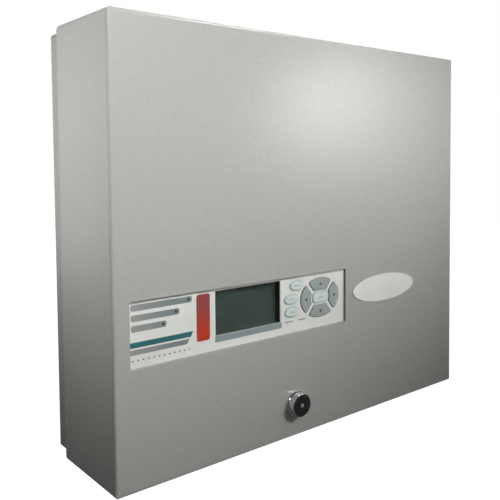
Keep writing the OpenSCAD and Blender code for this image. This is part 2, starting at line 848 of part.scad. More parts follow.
// Moulded chip with a pin-one dimple and leads along both sides
module chip(w, h, leads, pitch) {
    difference() {
        slab(board_y - chip_lift - chip_t, chip_t) round_rect(w, h, chip_lift);
        translate([-w / 2 + 3 * chip_dimple_r, 0, h / 2 - 3 * chip_dimple_r])
            rod(board_y - chip_lift - chip_t - chip_lift, 2 * chip_lift, chip_dimple_r);
    }
    for (side = [-1, 1], i = [0 : leads - 1])
        translate([side * (w / 2 + chip_lift) - chip_lead_length / 2, board_y - chip_lead_length,
            (i - (leads - 1) / 2) * pitch - chip_lead_w / 2])
            cube([chip_lead_length, chip_lead_length, chip_lead_w]);
}

module logic_chips() color(black) for (c = chips)
    translate([main_board_x + c[0], 0, main_board_z + c[1]]) chip(c[2], c[3], c[4], c[5]);

// Electrolytic capacitor standing off a board, with the crimp near its foot
module electrolytic(d, h) translate([0, board_y, 0]) mirror([0, 1, 0]) turned()
    polygon([[0, 0], [d / 2, 0], [d / 2, cap_crimp_h - cap_edge], [d / 2 - cap_crimp, cap_crimp_h],
        [d / 2, cap_crimp_h + cap_edge], [d / 2, h - cap_edge], [d / 2 - cap_edge, h], [0, h]]);

module capacitors() color([0.12, 0.16, 0.3]) {
    for (i = [0 : small_cap_count - 1])
        translate([main_board_x + main_board_w - small_cap_right + i * small_cap_pitch, 0,
            main_board_z + small_cap_up]) electrolytic(small_cap_d, small_cap_h);
    translate([power_board_x + large_cap_left, 0, power_board_z + power_board_h - large_cap_drop])
        electrolytic(large_cap_d, large_cap_h);
    for (i = [0 : middle_cap_count - 1])
        translate([power_board_x + middle_cap_left + i * middle_cap_pitch, 0, power_board_z + middle_cap_up])
            electrolytic(middle_cap_d, middle_cap_h);
}

// Round sounder with a sound port and a shallow groove in its face
module sounder() color(black)
    translate([main_board_x + main_board_w - sounder_right, board_y, main_board_z + sounder_up])
        mirror([0, 1, 0]) turned() polygon([[sounder_port_r, sounder_h - sounder_port_depth],
            [sounder_port_r, sounder_h], [sounder_ring_r, sounder_h],
            [sounder_ring_r, sounder_h - sounder_groove], [sounder_groove_r, sounder_h - sounder_groove],
            [sounder_groove_r, sounder_h],
            [sounder_d / 2 - sounder_edge, sounder_h], [sounder_d / 2, sounder_h - sounder_edge],
            [sounder_d / 2, 0], [0, 0], [0, sounder_h - sounder_port_depth]]);

// Shrouded pin header: an open box with a polarising gap and two rows of pins, on y = 0
module box_header() {
    w = header_columns * header_pitch + header_end;
    difference() {
        slab(-header_h, header_h) round_rect(w, header_d, header_wall / 2);
        slab(-header_h - cut, header_h - header_floor + cut)
            square([w - 2 * header_wall, header_d - 2 * header_wall], center = true);
        translate([-header_key_w / 2, -header_h - cut, -header_d / 2 - cut])
            cube([header_key_w, header_h - header_floor + cut, 2 * header_wall + cut]);
    }
    for (i = [0 : header_columns - 1], k = [-0.5, 0.5])
        translate([(i - (header_columns - 1) / 2) * header_pitch - header_pin_w / 2,
            -header_floor - header_pin_h + header_pin_w, k * header_pitch - header_pin_w / 2])
            cube([header_pin_w, header_pin_h, header_pin_w]);
}

module display_header() color(black)
    translate([main_board_x + header_left, board_y, main_board_z + header_up]) box_header();

// Fuse clip pair with a glass fuse, on y = 0
module fuse_holder() {
    for (end = [-1, 1]) translate([end * fuse_clip_pitch / 2 - fuse_clip_w / 2, 0, 0]) {
        translate([0, -fuse_base_t, -fuse_clip_gap - fuse_clip_t / 2])
            cube([fuse_clip_w, fuse_base_t, 2 * fuse_clip_gap + fuse_clip_t]);
        for (side = [-1, 1]) translate([0, -fuse_clip_h, side * fuse_clip_gap - fuse_clip_t / 2])
            cube([fuse_clip_w, fuse_clip_h - fuse_base_t / 2, fuse_clip_t]);
    }
    translate([-fuse_length / 2, -fuse_axis_h, 0]) rotate([0, 90, 0]) cylinder(h = fuse_length, r = fuse_r);
}

module fuse_holders() color([0.8, 0.8, 0.78]) {
    for (i = [0 : fuse_count - 1])
        translate([main_board_x + main_board_w - fuse_right, board_y,
            main_board_z + fuse_up + i * fuse_pitch]) fuse_holder();
    translate([power_board_x + power_board_w - power_fuse_right, board_y, power_board_z + power_fuse_up])
        fuse_holder();
}

// Ferrite E-core transformer standing on the power board
module at_transformer() translate([power_board_x + core_left, board_y, power_board_z + core_up]) children();

module transformer_core() color([0.2, 0.2, 0.2]) at_transformer()
    slab(-core_lift - core_t, core_t) difference() {
        round_rect(core_w, core_h, 0.8);
        for (side = [-1, 1]) translate([side * (limb_w + core_window_w) / 2, 0])
            square([core_window_w, core_window_h], center = true);
    }

module transformer_coil() color([0.85, 0.7, 0.25]) at_transformer()
    translate([0, -core_lift - core_t / 2, -core_window_h / 2 + coil_gap])
        linear_extrude(core_window_h - 2 * coil_gap) difference() {
            round_rect(limb_w + 2 * core_window_w - 2 * coil_gap, coil_d, coil_corner_r);
            square([limb_w + 2 * coil_gap, core_t + 2 * coil_gap], center = true);
        }

module heat_sink() color(black)
    translate([power_board_x + power_board_w - sink_right, board_y, power_board_z + sink_up])
        linear_extrude(sink_h) {
            translate([0, -sink_d]) square([sink_base_t, sink_d]);
            for (i = [0 : sink_fin_count - 1]) translate([-sink_fin_l, -sink_d + 1 + i * sink_fin_pitch])
                square([sink_fin_l, sink_fin_t]);
        }

module mains_terminal() color(off_white)
    translate([mains_x, back_y, battery_z + battery_h + mains_above_battery]) difference() {
        slab(-mains_d, mains_d) round_rect(mains_w, mains_h, mains_corner_r);
        for (k = [0 : mains_ways - 1]) translate([0, 0, (k - (mains_ways - 1) / 2) * mains_pitch]) {
            for (side = [-1, 1]) translate([side * mains_screw_x, 0, 0])
                rod(-mains_d - cut, mains_screw_depth + cut, mains_screw_r);
            translate([-mains_w / 2 - cut, -mains_wire_y, -mains_wire_w / 2])
                cube([mains_w + 2 * cut, mains_wire_w, mains_wire_w]);
        }
    }

module at_earth() translate([mains_x, back_y, battery_z + earth_v]) children();

module earth_stud() color(steel) at_earth() rod(-earth_length, earth_length, earth_r);

// Washer and nut, each loose on the stud
module earth_nuts() color(steel) at_earth() {
    difference() {
        rod(-washer_t, washer_t, washer_r);
        rod(-washer_t - cut, washer_t + 2 * cut, earth_r + fit_gap);
    }
    translate([0, -washer_t - fit_gap - earth_nut_t, 0]) difference() {
        hex_rod(0, earth_nut_t, earth_nut_r);
        rod(-cut, earth_nut_t + 2 * cut, earth_r + fit_gap);
    }
}

// Ears at the rear of the cover's top and bottom that reach back to the hinge axis
module hinge_ear() translate([hinge_x, hinge_y, panel_h / 2 - sheet_t]) {
    cylinder(h = sheet_t, r = ear_r);
    translate([-ear_r, -rear_reveal + hinge_from_wall - cut, 0])
        cube([2 * ear_r, rear_reveal - hinge_from_wall + cut, sheet_t]);
}

module window_shape(margin) translate([window_cu - panel_w / 2, window_cv - panel_h / 2])
    round_rect(window_w + 2 * margin, window_h + 2 * margin, window_r);

// Round hole with two flats that stop the lock from turning
module barrel_shape(grow) intersection() {
    circle(barrel_d / 2 + grow);
    square([barrel_flats + 2 * grow, barrel_d + 2 * cut], center = true);
}

module front_cover() color(cover_grey) difference() {
    union() {
        translate([0, front_y, 0]) pan(panel_w, panel_h, cover_depth);
        for (side = [0, 1]) mirror([0, 0, side]) hinge_ear();
    }
    slab(front_y - cut, sheet_t + 2 * cut) window_shape(0);
    at_face(lock_u, lock_v) slab(front_y - cut, sheet_t + 2 * cut) barrel_shape(fit_gap);
    at_hinges() cylinder(h = panel_h, r = pin_r + pin_seat_clearance);
}

module fascia_gasket() color(black) slab(cover_in_y, gasket_t) difference() {
    window_shape(overlay_margin);
    window_shape(0);
}

// Places of the studs above and below the window
module at_studs() {
    for (u = [window_u, window_cu, window_u + window_w], side = [-1, 1])
        at_face(u, window_cv + side * (window_h / 2 + stud_offset)) children();
}

module at_pillars() {
    for (x = [-1, 1], z = [-1, 1])
        at_face(window_cu + x * (display_board_w / 2 - pillar_inset),
            window_cv + z * (display_board_h / 2 - pillar_inset)) children();
}

module lcd_opening() translate([lcd_cu - panel_w / 2, lcd_cv - panel_h / 2])
    square([lcd_w, lcd_h], center = true);

module alarm_shape(grow) translate([alarm_u + alarm_w / 2 - panel_w / 2, alarm_v + alarm_h / 2 - panel_h / 2])
    round_rect(alarm_w + 2 * grow, alarm_h + 2 * grow, alarm_r);

module at_lamps() {
    for (i = [0 : lamp_count - 1]) at_face(lamp_u + i * lamp_step_u, lamp_v + i * lamp_step_v) children();
}

// One key of the ring before its corners are rounded: 0 up, 1 right, 2 down, 3 left
module ring_key_core(side) {
    rise = ring_gap / 2 * sqrt(1 + ring_slope * ring_slope);
    run = ring_split + rise / ring_slope;
    drop = ring_slope * ring_split;
    reach = ring_slope * ring_w;
    intersection() {
        difference() {
            oval(ring_w, ring_h);
            round_rect(ring_hole_w, ring_hole_h, enter_r + enter_gap);
        }
        mirror([0, side == 2 ? 1 : 0]) mirror([side == 3 ? 1 : 0, 0])
            polygon(side % 2 == 0 ?
                [[0, rise - drop], [ring_w, rise - drop + reach], [-ring_w, rise - drop + reach]] :
                [[run, 0], [run + ring_w, reach], [run + ring_w, -reach]]);
    }
}

module ring_key_shape(side, grow) translate([ring_u - panel_w / 2, ring_v - panel_h / 2])
    offset(r = ring_corner + grow, $fn = corner_steps) offset(delta = -ring_corner) ring_key_core(side);

module enter_shape(grow) translate([ring_u - panel_w / 2, ring_v - panel_h / 2])
    round_rect(enter_w + 2 * grow, enter_h + 2 * grow, enter_r + grow);

module oval_key_shape(i, grow) translate([oval_keys[i][0] - panel_w / 2, oval_keys[i][1] - panel_h / 2])
    oval(oval_w + 2 * grow, oval_h + 2 * grow);

module overlay() color(off_white) difference() {
    slab(overlay_y, overlay_t) window_shape(overlay_margin);
    slab(overlay_y - cut, overlay_t + 2 * cut) {
        lcd_opening();
        alarm_shape(fit_gap);
        enter_shape(key_gap);
        for (side = [0 : 3]) ring_key_shape(side, key_gap);
        for (i = [0 : len(oval_keys) - 1]) oval_key_shape(i, key_gap);
    }
    at_lamps() rod(overlay_y - cut, overlay_t + 2 * cut, lamp_d / 2 + fit_gap);
}

// Moulded carrier behind the overlay: openings for the display, keys and lamps, and four board pillars
module fascia_plate() color(black) difference() {
    union() {
        slab(fascia_y, fascia_t) translate([window_cu - panel_w / 2, window_cv - panel_h / 2])
            round_rect(window_w + 2 * fascia_margin_x, window_h + 2 * fascia_margin_z, fascia_corner_r);
        at_pillars() rod(fascia_rear_y, display_board_y - fascia_rear_y, pillar_r);
    }
    slab(fascia_y - cut, fascia_t + 2 * cut) {
        lcd_opening();
        translate([ring_u - panel_w / 2, ring_v - panel_h / 2])
            oval(ring_w + 2 * (key_lip + key_gap), ring_h + 2 * (key_lip + key_gap));
        for (i = [0 : len(oval_keys) - 1]) oval_key_shape(i, key_lip + key_gap);
        alarm_shape(fit_gap);
    }
    slab(fascia_y - cut, alarm_lip + cut + fit_gap) alarm_shape(alarm_lip + fit_gap);
    at_lamps() rod(fascia_y - cut, fascia_t + 2 * cut, lamp_d / 2 + lamp_flange + fit_gap);
    at_studs() rod(fascia_y - cut, fascia_t + 2 * cut, stud_d / 2 + fit_gap);
    at_pillars() rod(display_board_y - pillar_bore_depth, pillar_bore_depth + cut, pillar_screw_r + fit_gap);
}

// Red window, flush with the overlay and held by a lip behind it
module alarm_window() color([0.7, 0.16, 0.12]) {
    slab(overlay_y, overlay_t + alarm_lip) alarm_shape(0);
    slab(fascia_y, alarm_lip) alarm_shape(alarm_lip);
}

module lcd_plate(y0, t, border) slab(y0, t) translate([lcd_cu - panel_w / 2, lcd_cv - panel_h / 2])
    round_rect(lcd_w + 2 * border, lcd_h + 2 * border, 0.8);

module lcd_window() color([0.6, 0.66, 0.64, 0.4]) lcd_plate(fascia_rear_y, lcd_window_t, lcd_border);

// Pressed metal frame, open over the glass
module lcd_frame() color(steel) difference() {
    lcd_plate(lcd_frame_y, lcd_frame_t, lcd_frame_border);
    slab(lcd_frame_y - cut, lcd_frame_t) lcd_opening();
    lcd_plate(lcd_frame_y + lcd_frame_lip, lcd_glass_t + fit_gap, lcd_border + fit_gap);
    lcd_plate(lcd_frame_y + lcd_frame_lip + lcd_glass_t, lcd_frame_t, lcd_border - 1);
}

module lcd_glass() color([0.22, 0.26, 0.24]) lcd_plate(lcd_frame_y + lcd_frame_lip, lcd_glass_t, lcd_border);

module lcd_board() color(board_green) slab(lcd_board_y, board_t)
    translate([lcd_cu - panel_w / 2, window_cv - panel_h / 2])
        round_rect(lcd_w + 2 * lcd_board_border, display_board_h, 1);

module display_board() color(board_green) difference() {
    slab(display_board_y, board_t) translate([window_cu - panel_w / 2, window_cv - panel_h / 2])
        round_rect(display_board_w, display_board_h, 1);
    at_pillars() rod(display_board_y - cut, board_t + 2 * cut, pillar_screw_r + seat_gap);
}

module display_screws() color(steel) at_pillars() translate([0, display_rear_y, 0]) mirror([0, 1, 0])
    screw(pillar_screw_r, board_t + pillar_bore_depth - cut, 2.6, 1.8);

// Push switch on the display board under each key
module key_switch() {
    height = display_board_y - switch_top_y;
    slab(display_board_y - switch_h, switch_h) square(switch_w, center = true);
    rod(display_board_y - height, height - switch_h, switch_plunger_r);
}

module key_switches() color(black) {
    for (side = [-1, 1]) {
        at_face(ring_u + side * stem_ring_x, ring_v) key_switch();
        at_face(ring_u, ring_v + side * stem_ring_z) key_switch();
    }
    at_face(ring_u, ring_v) key_switch();
    for (place = oval_keys) at_face(place[0], place[1]) key_switch();
}

// Lamps on spacers that reach through the fascia to the overlay's face
module status_leds() color([0.25, 0.27, 0.26]) at_lamps() turned()
    polygon([[0, overlay_y - lamp_dome], [lamp_d * 0.3, overlay_y - lamp_dome / 2],
        [lamp_d / 2, overlay_y + 1.5 * lamp_dome], [lamp_d / 2, lamp_spacer_y],
        [lamp_d / 2 + lamp_flange, lamp_spacer_y], [lamp_d / 2 + lamp_flange, display_board_y],
        [0, display_board_y]]);

module alarm_leds() color([0.85, 0.85, 0.8]) {
    step = alarm_h / alarm_lamp_count;
    for (i = [0 : alarm_lamp_count - 1]) at_face(alarm_u + alarm_led_inset, alarm_v + (i + 0.5) * step)
        translate([-alarm_led_w / 2, display_board_y - alarm_led_t, -alarm_led_h / 2])
            cube([alarm_led_w, alarm_led_t, alarm_led_h]);
}

module fascia_studs() color(steel) at_studs() rod(cover_in_y, stud_length, stud_d / 2);

module fascia_nuts() color(steel) at_studs() difference() {
    hex_rod(fascia_rear_y, nut_t, nut_r);
    rod(fascia_rear_y - cut, nut_t + 2 * cut, stud_d / 2 + pin_seat_clearance);
}

module cover_header() color(black) at_face(lcd_cu, window_cv) translate([0, display_rear_y, 0])
    mirror([0, 1, 0]) box_header();

// Thin oval plate with a raised rim, left bare
module badge() color(off_white) at_face(badge_u, badge_v) difference() {
    slab(front_y - badge_t, badge_t) oval(badge_w, badge_h);
    slab(front_y - badge_t - cut, cut + badge_t * 0.3)
        oval(badge_w - 2 * badge_rim_w, badge_h - 2 * badge_rim_w);
}

// Flanged head outside the cover and flatted barrel through it, with a stepped bore for the plug
module lock_body() color(steel) translate([lock_x, 0, lock_z]) difference() {
    union() {
        translate([0, lock_face_y, 0]) turned()
            polygon([[0, 0], [lock_head_d / 2 - lock_edge, 0],
                [lock_head_d / 2 - lock_edge / 4, lock_edge / 3], [lock_head_d / 2, lock_edge],
                [lock_head_d / 2, lock_head_h - lock_flange_t],
                [lock_flange_r - lock_flange_edge, lock_head_h - lock_flange_t],
                [lock_flange_r, lock_head_h - lock_flange_t + lock_flange_edge],
                [lock_flange_r, lock_head_h], [0, lock_head_h]]);
        slab(front_y - cut, barrel_length + cut) barrel_shape(0);
    }
    rod(lock_face_y - cut, face_ring_t + cut, lock_face_r);
    rod(lock_face_y - cut, plug_step_y - lock_face_y + cut, plug_r + pin_clearance);
    rod(lock_face_y, barrel_length + lock_head_h + cut, plug_shaft_r + pin_clearance);
}

module lock_face() color(black) translate([lock_x, 0, lock_z]) difference() {
    rod(lock_face_y, face_ring_t, lock_face_r - pin_seat_clearance);
    rod(lock_face_y - cut, face_ring_t + 2 * cut, plug_nose_r + seat_gap);
}

module lock_plug() color(steel) translate([lock_x, 0, lock_z]) difference() {
    union() {
        rod(lock_face_y + fit_gap, plug_nose_h, plug_nose_r);
        rod(plug_shoulder_y, plug_step_y - plug_shoulder_y - fit_gap, plug_r);
        rod(plug_step_y - cut, plug_end_y - plug_step_y + cut, plug_shaft_r);
        slab(plug_end_y - cut, cam_t + cut) square(drive_w, center = true);
    }
    translate([-key_slot_w / 2, lock_face_y - cut, -key_slot_h / 2])
        cube([key_slot_w, key_slot_depth + cut, key_slot_h]);
    rod(plug_end_y + cam_t - cam_screw_length, cam_screw_length + cut, cam_screw_r);
}

module lock_nut() color(steel) translate([lock_x, 0, lock_z]) difference() {
    hex_rod(cover_in_y, lock_nut_t, lock_nut_r);
    rod(cover_in_y - cut, lock_nut_t + 2 * cut, barrel_d / 2 + pin_seat_clearance);
}

// Cam that hangs down when unlocked and turns to the right behind the catch
module lock_cam() color(steel) translate([lock_x, 0, lock_z]) difference() {
    slab(cam_y, cam_t) {
        circle(cam_hub_r);
        translate([-cam_w / 2, -cam_length + cam_corner_r]) square([cam_w, cam_length - cam_corner_r]);
        translate([-cam_w / 2 + cam_corner_r, -cam_length]) square([cam_w - 2 * cam_corner_r, cam_length]);
        for (x = [-1, 1]) translate([x * (cam_w / 2 - cam_corner_r), -cam_length + cam_corner_r])
            circle(cam_corner_r);
    }
    slab(cam_y - cut, cam_t + 2 * cut) square(drive_w + 2 * fit_gap, center = true);
}

module cam_screw() color(steel) translate([lock_x, cam_y + cam_t, lock_z]) mirror([0, 1, 0])
    screw(cam_screw_r - pin_seat_clearance, cam_screw_length, cam_screw_head_r, cam_screw_head_t);

module cover_earth_stud() color(steel) at_face(cover_earth_u, cover_earth_v)
    rod(cover_in_y, cover_earth_length, cover_earth_r);

// Key with a raised cap, a lip behind the overlay and a stem over its switch
module key(u, v) {
    slab(key_front_y, key_lip_y - key_front_y) children(0);
    slab(key_lip_y, key_lip_t) children(1);
    at_face(u, v) rod(key_lip_y, key_stem_end_y - key_lip_y, key_stem_r);
}

module ring_key(side) color(key_grey)
    key(ring_u + stem_ring_x * (side == 1 ? 1 : side == 3 ? -1 : 0),
        ring_v + stem_ring_z * (side == 0 ? 1 : side == 2 ? -1 : 0)) {
        ring_key_shape(side, 0);
        ring_key_shape(side, key_lip);
    }

module oval_key(i) color(key_mint) key(oval_keys[i][0], oval_keys[i][1]) {
    oval_key_shape(i, 0);
    oval_key_shape(i, key_lip);
}

module key_up() ring_key(0);

module key_right() ring_key(1);

module key_down() ring_key(2);

module key_left() ring_key(3);

module key_enter() color(key_mint) key(ring_u, ring_v) {
    enter_shape(0);
    enter_shape(key_lip);
}

module key_top() oval_key(0);

module key_middle() oval_key(1);

module key_bottom() oval_key(2);

back_box();
hinge_bushes();
lock_catch();
bracket_screws();
main_board();
board_standoffs();
board_screws();
terminal_blocks();
relays();
logic_chips();
capacitors();
sounder();
display_header();
fuse_holders();
power_board();
transformer_core();
transformer_coil();
heat_sink();
mains_terminal();
battery_left();
battery_right();
battery_terminals();
battery_strap();
earth_stud();
earth_nuts();
front_cover();
hinge_pins();
fascia_gasket();
fascia_plate();
overlay();
alarm_window();
lcd_window();
lcd_frame();
lcd_glass();
lcd_board();
display_board();
display_screws();
key_switches();
status_leds();
alarm_leds();
fascia_studs();
fascia_nuts();
cover_header();
badge();
lock_body();
lock_face();
lock_nut();
cover_earth_stud();
lock_plug();
lock_cam();
cam_screw();
key_up();
key_right();
key_down();
key_left();
key_enter();
key_top();
key_middle();
key_bottom();
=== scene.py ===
"""Looks of a wall-mounted fire alarm control panel: finishes, printed fascia, fittings and a plain studio.

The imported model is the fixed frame. Every piece made here keeps the frame's own places, in metres, and
rides on one of its bodies. Places on the cover's front are u from its left edge and v from its bottom
edge, in millimetres.
"""
import json
import math

import bmesh
import bpy
from bpy.props import FloatProperty, FloatVectorProperty, IntProperty, PointerProperty
from bpy.types import Operator, Panel, PropertyGroup
from mathutils import Matrix, Vector


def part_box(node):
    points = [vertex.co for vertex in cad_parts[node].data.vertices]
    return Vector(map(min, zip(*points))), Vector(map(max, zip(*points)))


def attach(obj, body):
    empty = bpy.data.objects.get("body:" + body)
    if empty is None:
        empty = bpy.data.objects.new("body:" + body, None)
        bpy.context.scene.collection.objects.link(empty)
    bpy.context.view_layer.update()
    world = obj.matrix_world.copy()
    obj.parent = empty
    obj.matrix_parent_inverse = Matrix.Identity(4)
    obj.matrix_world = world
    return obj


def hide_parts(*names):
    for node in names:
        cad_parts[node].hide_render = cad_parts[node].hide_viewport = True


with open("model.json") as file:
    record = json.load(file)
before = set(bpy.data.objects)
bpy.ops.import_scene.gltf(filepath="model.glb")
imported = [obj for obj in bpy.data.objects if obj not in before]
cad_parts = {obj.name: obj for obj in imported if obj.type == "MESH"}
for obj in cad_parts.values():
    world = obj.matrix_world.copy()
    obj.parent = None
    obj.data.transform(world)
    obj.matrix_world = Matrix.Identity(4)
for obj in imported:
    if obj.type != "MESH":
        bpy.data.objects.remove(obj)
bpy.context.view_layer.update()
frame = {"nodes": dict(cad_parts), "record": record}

bl_info = {
    "name": "Alarm panel looks",
    "version": (1, 0, 0),
    "blender": (4, 5, 0),
    "location": "View3D > Sidebar > Alarm panel",
    "description": "Finishes, printed fascia, fittings and a studio for a wall-mounted alarm panel",
    "category": "Object",
}

MM = 0.001
MERGE = 1e-6
FLAT = math.radians(0.5)
SHARP = math.radians(40)
# Turns a flat pattern or a disc to the panel's front
UPRIGHT = (math.pi / 2, 0, 0)
# Noise seldom leaves this range
NOISE_LOW, NOISE_HIGH = 0.3, 0.7
WHITE = (1, 1, 1, 1)
BODY_OF = {n: body for body, nodes in frame["record"]["behaviour"]["bodies"].items() for n in nodes}
COVER_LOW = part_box("front_cover")[0]
OVERLAY_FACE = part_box("overlay")[0].y
BOARD_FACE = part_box("main_board")[0].y


def linear(hex_colour):
    """An sRGB colour written as RRGGBB, as linear red, green and blue with an alpha of one."""
    channels = [int(hex_colour[i:i + 2], 16) / 255 for i in (0, 2, 4)]
    return tuple(c / 12.92 if c <= 0.04045 else ((c + 0.055) / 1.055) ** 2.4 for c in channels) + (1.0,)


def colour_of(name, hex_colour, description):
    """A colour that a user may change, with its default as sRGB hex."""
    return FloatVectorProperty(name=name, description=description, subtype="COLOR", size=4, min=0, max=1,
                               default=linear(hex_colour))


def length_of(name, millimetres, description):
    """A length that a user may change, with its default in millimetres."""
    return FloatProperty(name=name, description=description, unit="LENGTH", default=millimetres * MM, min=0)


def angle_of(name, degrees, description):
    """An angle that a user may change, with its default in degrees."""
    return FloatProperty(name=name, description=description, subtype="ANGLE", default=math.radians(degrees))


class PanelColours(PropertyGroup):
    """Colours of the panel's finishes"""
    coat: colour_of("Powder coat", "B2B3AE", "Coat of the cover")
    # The back box's darker grey is painted shade: the cover's paint, darkened for the shadow the cover throws
    # on the box.
    box_coat: colour_of("Box coat", "A3A49F", "Coat of the back box")
    film: colour_of("Overlay film", "E9EAE4", "Background of the keypad overlay")
    bar_ink: colour_of("Bar ink", "7C8987", "Printed status bars and the grey band")
    teal_ink: colour_of("Teal ink", "2F6F76", "Printed teal band")
    mark_ink: colour_of("Mark ink", "3E474A", "Small dark printed marks")
    strip_ink: colour_of("Strip ink", "8F9D9E", "Pale strip under the display")
    ring_key: colour_of("Direction keys", "A2ACA9", "The four keys of the ring")
    soft_key: colour_of("Function keys", "DCE4DF", "The oval keys and the enter key")
    soft_rim: colour_of("Function key rims", "B3CDC5", "Printed rim and sign of the oval keys")
    lens_high: colour_of("Lens, top", "9A4F4E", "Alarm window at its top")
    lens_low: colour_of("Lens, bottom", "C24334", "Alarm window at its bottom")
    display: colour_of("Display glass", "6B7B74", "Unlit liquid crystal display")
    badge: colour_of("Badge", "EFF1EB", "Bare oval badge")
    mask: colour_of("Solder mask", "1E5A3A", "Circuit boards")


class PanelSizes(PropertyGroup):
    """Sizes of the panel's small details"""
    sheet_corner: length_of("Sheet corner", 4.0, "Rounding of the welded corners of the cover and the box")
    sheet_edge: length_of("Sheet edge", 0.35, "Rounding of the coated sheet's cut edges")
    print_height: length_of("Print height", 0.05, "Thickness of the printed ink")
    dot: length_of("Dot", 1.1, "Diameter of a small printed dot")
    coat_grain: length_of("Coat grain", 1.2, "Grain of the textured powder coat")
    small_part: length_of("Small part", 1.8, "Length of a small chip part on the boards")
    seed: IntProperty(name="Seed", description="Seed of what is scattered", default=7)


class StageSizes(PropertyGroup):
    """Camera, floor and lights of the studio"""
    eye: FloatVectorProperty(name="Camera place", description="Where the camera stands",
                             subtype="TRANSLATION", unit="LENGTH", default=(-0.36327, -0.47766, 0.05914))
    yaw: angle_of("Yaw", 40.637, "Turn of the camera to the right")
    pitch: angle_of("Pitch", -2.878, "Tilt of the camera upwards")
    roll: angle_of("Roll", 0.372, "Turn of the camera about its axis")
    lens: FloatProperty(name="Lens", description="Focal length in millimetres, 36 mm sensor", default=47.935)
    shift_x: FloatProperty(name="Shift across", description="Share of the image width", default=-0.0664)
    shift_y: FloatProperty(name="Shift up", description="Share of the image width", default=-0.1105)
    floor_drop: length_of("Floor drop", 600, "Depth of the floor below the panel's middle")


def settings():
    """The scene's own sizes and colours."""
    return bpy.context.scene.alarm_panel


def add_node(tree, kind, inputs=(), **options):
    """Adds a node with its options; an input takes a value, the node or socket that feeds it, or a list."""
    node = tree.nodes.new(kind)
    for name, value in options.items():
        setattr(node, name, value)
    for socket, given in dict(inputs).items():
        for source in given if isinstance(given, list) else [given]:
            if isinstance(source, bpy.types.Node):
                source = source.outputs[0]
            if isinstance(source, bpy.types.NodeSocket):
                tree.links.new(source, node.inputs[socket])
            else:
                node.inputs[socket].default_value = source
    return node


# Materials


def surface(name, colour, roughness, metallic=0.0, **sockets):
    """A material with one Principled shader; returns it, its tree, the shader and Object coordinates."""
    material = bpy.data.materials.new(name)
    material.use_nodes = True
    tree = material.node_tree
    shader = tree.nodes["Principled BSDF"]
    shader.inputs["Base Color"].default_value = colour
    shader.inputs["Roughness"].default_value = roughness
    shader.inputs["Metallic"].default_value = metallic
    for socket, value in sockets.items():
        shader.inputs[socket.replace("_", " ")].default_value = value
    return material, tree, shader, add_node(tree, "ShaderNodeTexCoord").outputs["Object"]


def noise(tree, coords, grain_mm, detail=2.0, stretch=(1, 1, 1)):
    """Noise with grains of a real size, drawn out along an axis where stretch is below one."""
    drawn = add_node(tree, "ShaderNodeMapping", {"Vector": coords, "Scale": stretch})
    inputs = {"Vector": drawn, "Scale": 1 / (grain_mm * MM), "Detail": detail}
    return add_node(tree, "ShaderNodeTexNoise", inputs).outputs["Fac"]


def share_along(tree, coords, axis, start, end):
    """Nought at the start, one at the end, along an axis."""
    place_at = add_node(tree, "ShaderNodeSeparateXYZ", {"Vector": coords}).outputs[axis]
    return add_node(tree, "ShaderNodeMapRange", {"Value": place_at, "From Min": start, "From Max": end})


def vary_colour(tree, shader, factor, low, high, start=NOISE_LOW, end=NOISE_HIGH):
    """Blends the base colour from low to high as the factor rises."""
    ramp = add_node(tree, "ShaderNodeValToRGB", {"Fac": factor})
    first, last = ramp.color_ramp.elements
    first.position = start
    first.color = low
    last.position = end
    last.color = high
    tree.links.new(ramp.outputs["Color"], shader.inputs["Base Color"])


def vary_roughness(tree, shader, coords, low, high, *grain):
    """Spreads the roughness from low to high with noise."""
    spread = add_node(tree, "ShaderNodeMapRange", {
        "Value": noise(tree, coords, *grain), "From Min": NOISE_LOW, "From Max": NOISE_HIGH, "To Min": low,
        "To Max": high})
    tree.links.new(spread.outputs["Result"], shader.inputs["Roughness"])


def add_bump(tree, shader, factor, depth_mm, strength=1.0):
    """Raises the surface by a real depth where the factor is high."""
    inputs = {"Height": factor, "Strength": strength, "Distance": depth_mm * MM}
    bump = add_node(tree, "ShaderNodeBump", inputs)
    tree.links.new(bump.outputs["Normal"], shader.inputs["Normal"])


def shade(colour, share):
    """The same colour, lighter or darker by a share."""
    return tuple(min(1.0, c * share) for c in colour[:3]) + (1.0,)


def chosen(setting, share=1.0):
    """A colour from the settings, lighter or darker by a share."""
    return shade(getattr(settings().colours, setting), share)


def grained(name, colour, roughness, tint, sheen, relief=(), metallic=0.0):
    """A finish that varies with noise. Tint holds two colours or shares of the colour, sheen two
    roughnesses, and relief a depth in millimetres and a strength; each ends with what its noise takes."""
    material, tree, shader, coords = surface(name, colour, roughness, metallic)
    low, high, *grain = tint
    if not isinstance(low, tuple):
        low, high = shade(colour, low), shade(colour, high)
    vary_colour(tree, shader, noise(tree, coords, *grain), low, high)
    vary_roughness(tree, shader, coords, *sheen)
    if relief:
        depth_mm, strength, *grain = relief
        add_bump(tree, shader, noise(tree, coords, *grain), depth_mm, strength)
    return material


def polyester_powder_coat(name, setting):
    """Textured polyester powder on steel: even colour, low sheen and a grit that breaks up the highlight."""
    grit = settings().sizes.coat_grain / MM
    return grained(name, chosen(setting), 0.28, (0.99, 1.008, grit), (0.27, 0.29, grit), (0.03, 0.25, grit))


def zinc_plate():
    """Bright zinc on steel: pale blue-grey metal with a faint yellow cast in clouds and rolling streaks."""
    return grained("zinc_plate", linear("B4B8BD"), 0.34, (linear("A9AFB8"), linear("C6C3B4"), 9.0),
                   (0.26, 0.44, 1.2, 2.0, (1, 1, 0.1)), metallic=1.0)


def chrome_plate():
    """Polished chrome on brass: a clean mirror with faint handling marks."""
    return grained("chrome_plate", linear("D6D8DA"), 0.09, (linear("CBCED1"), linear("DEDFE0"), 4.0),
                   (0.05, 0.15, 0.8, 3.0), metallic=1.0)


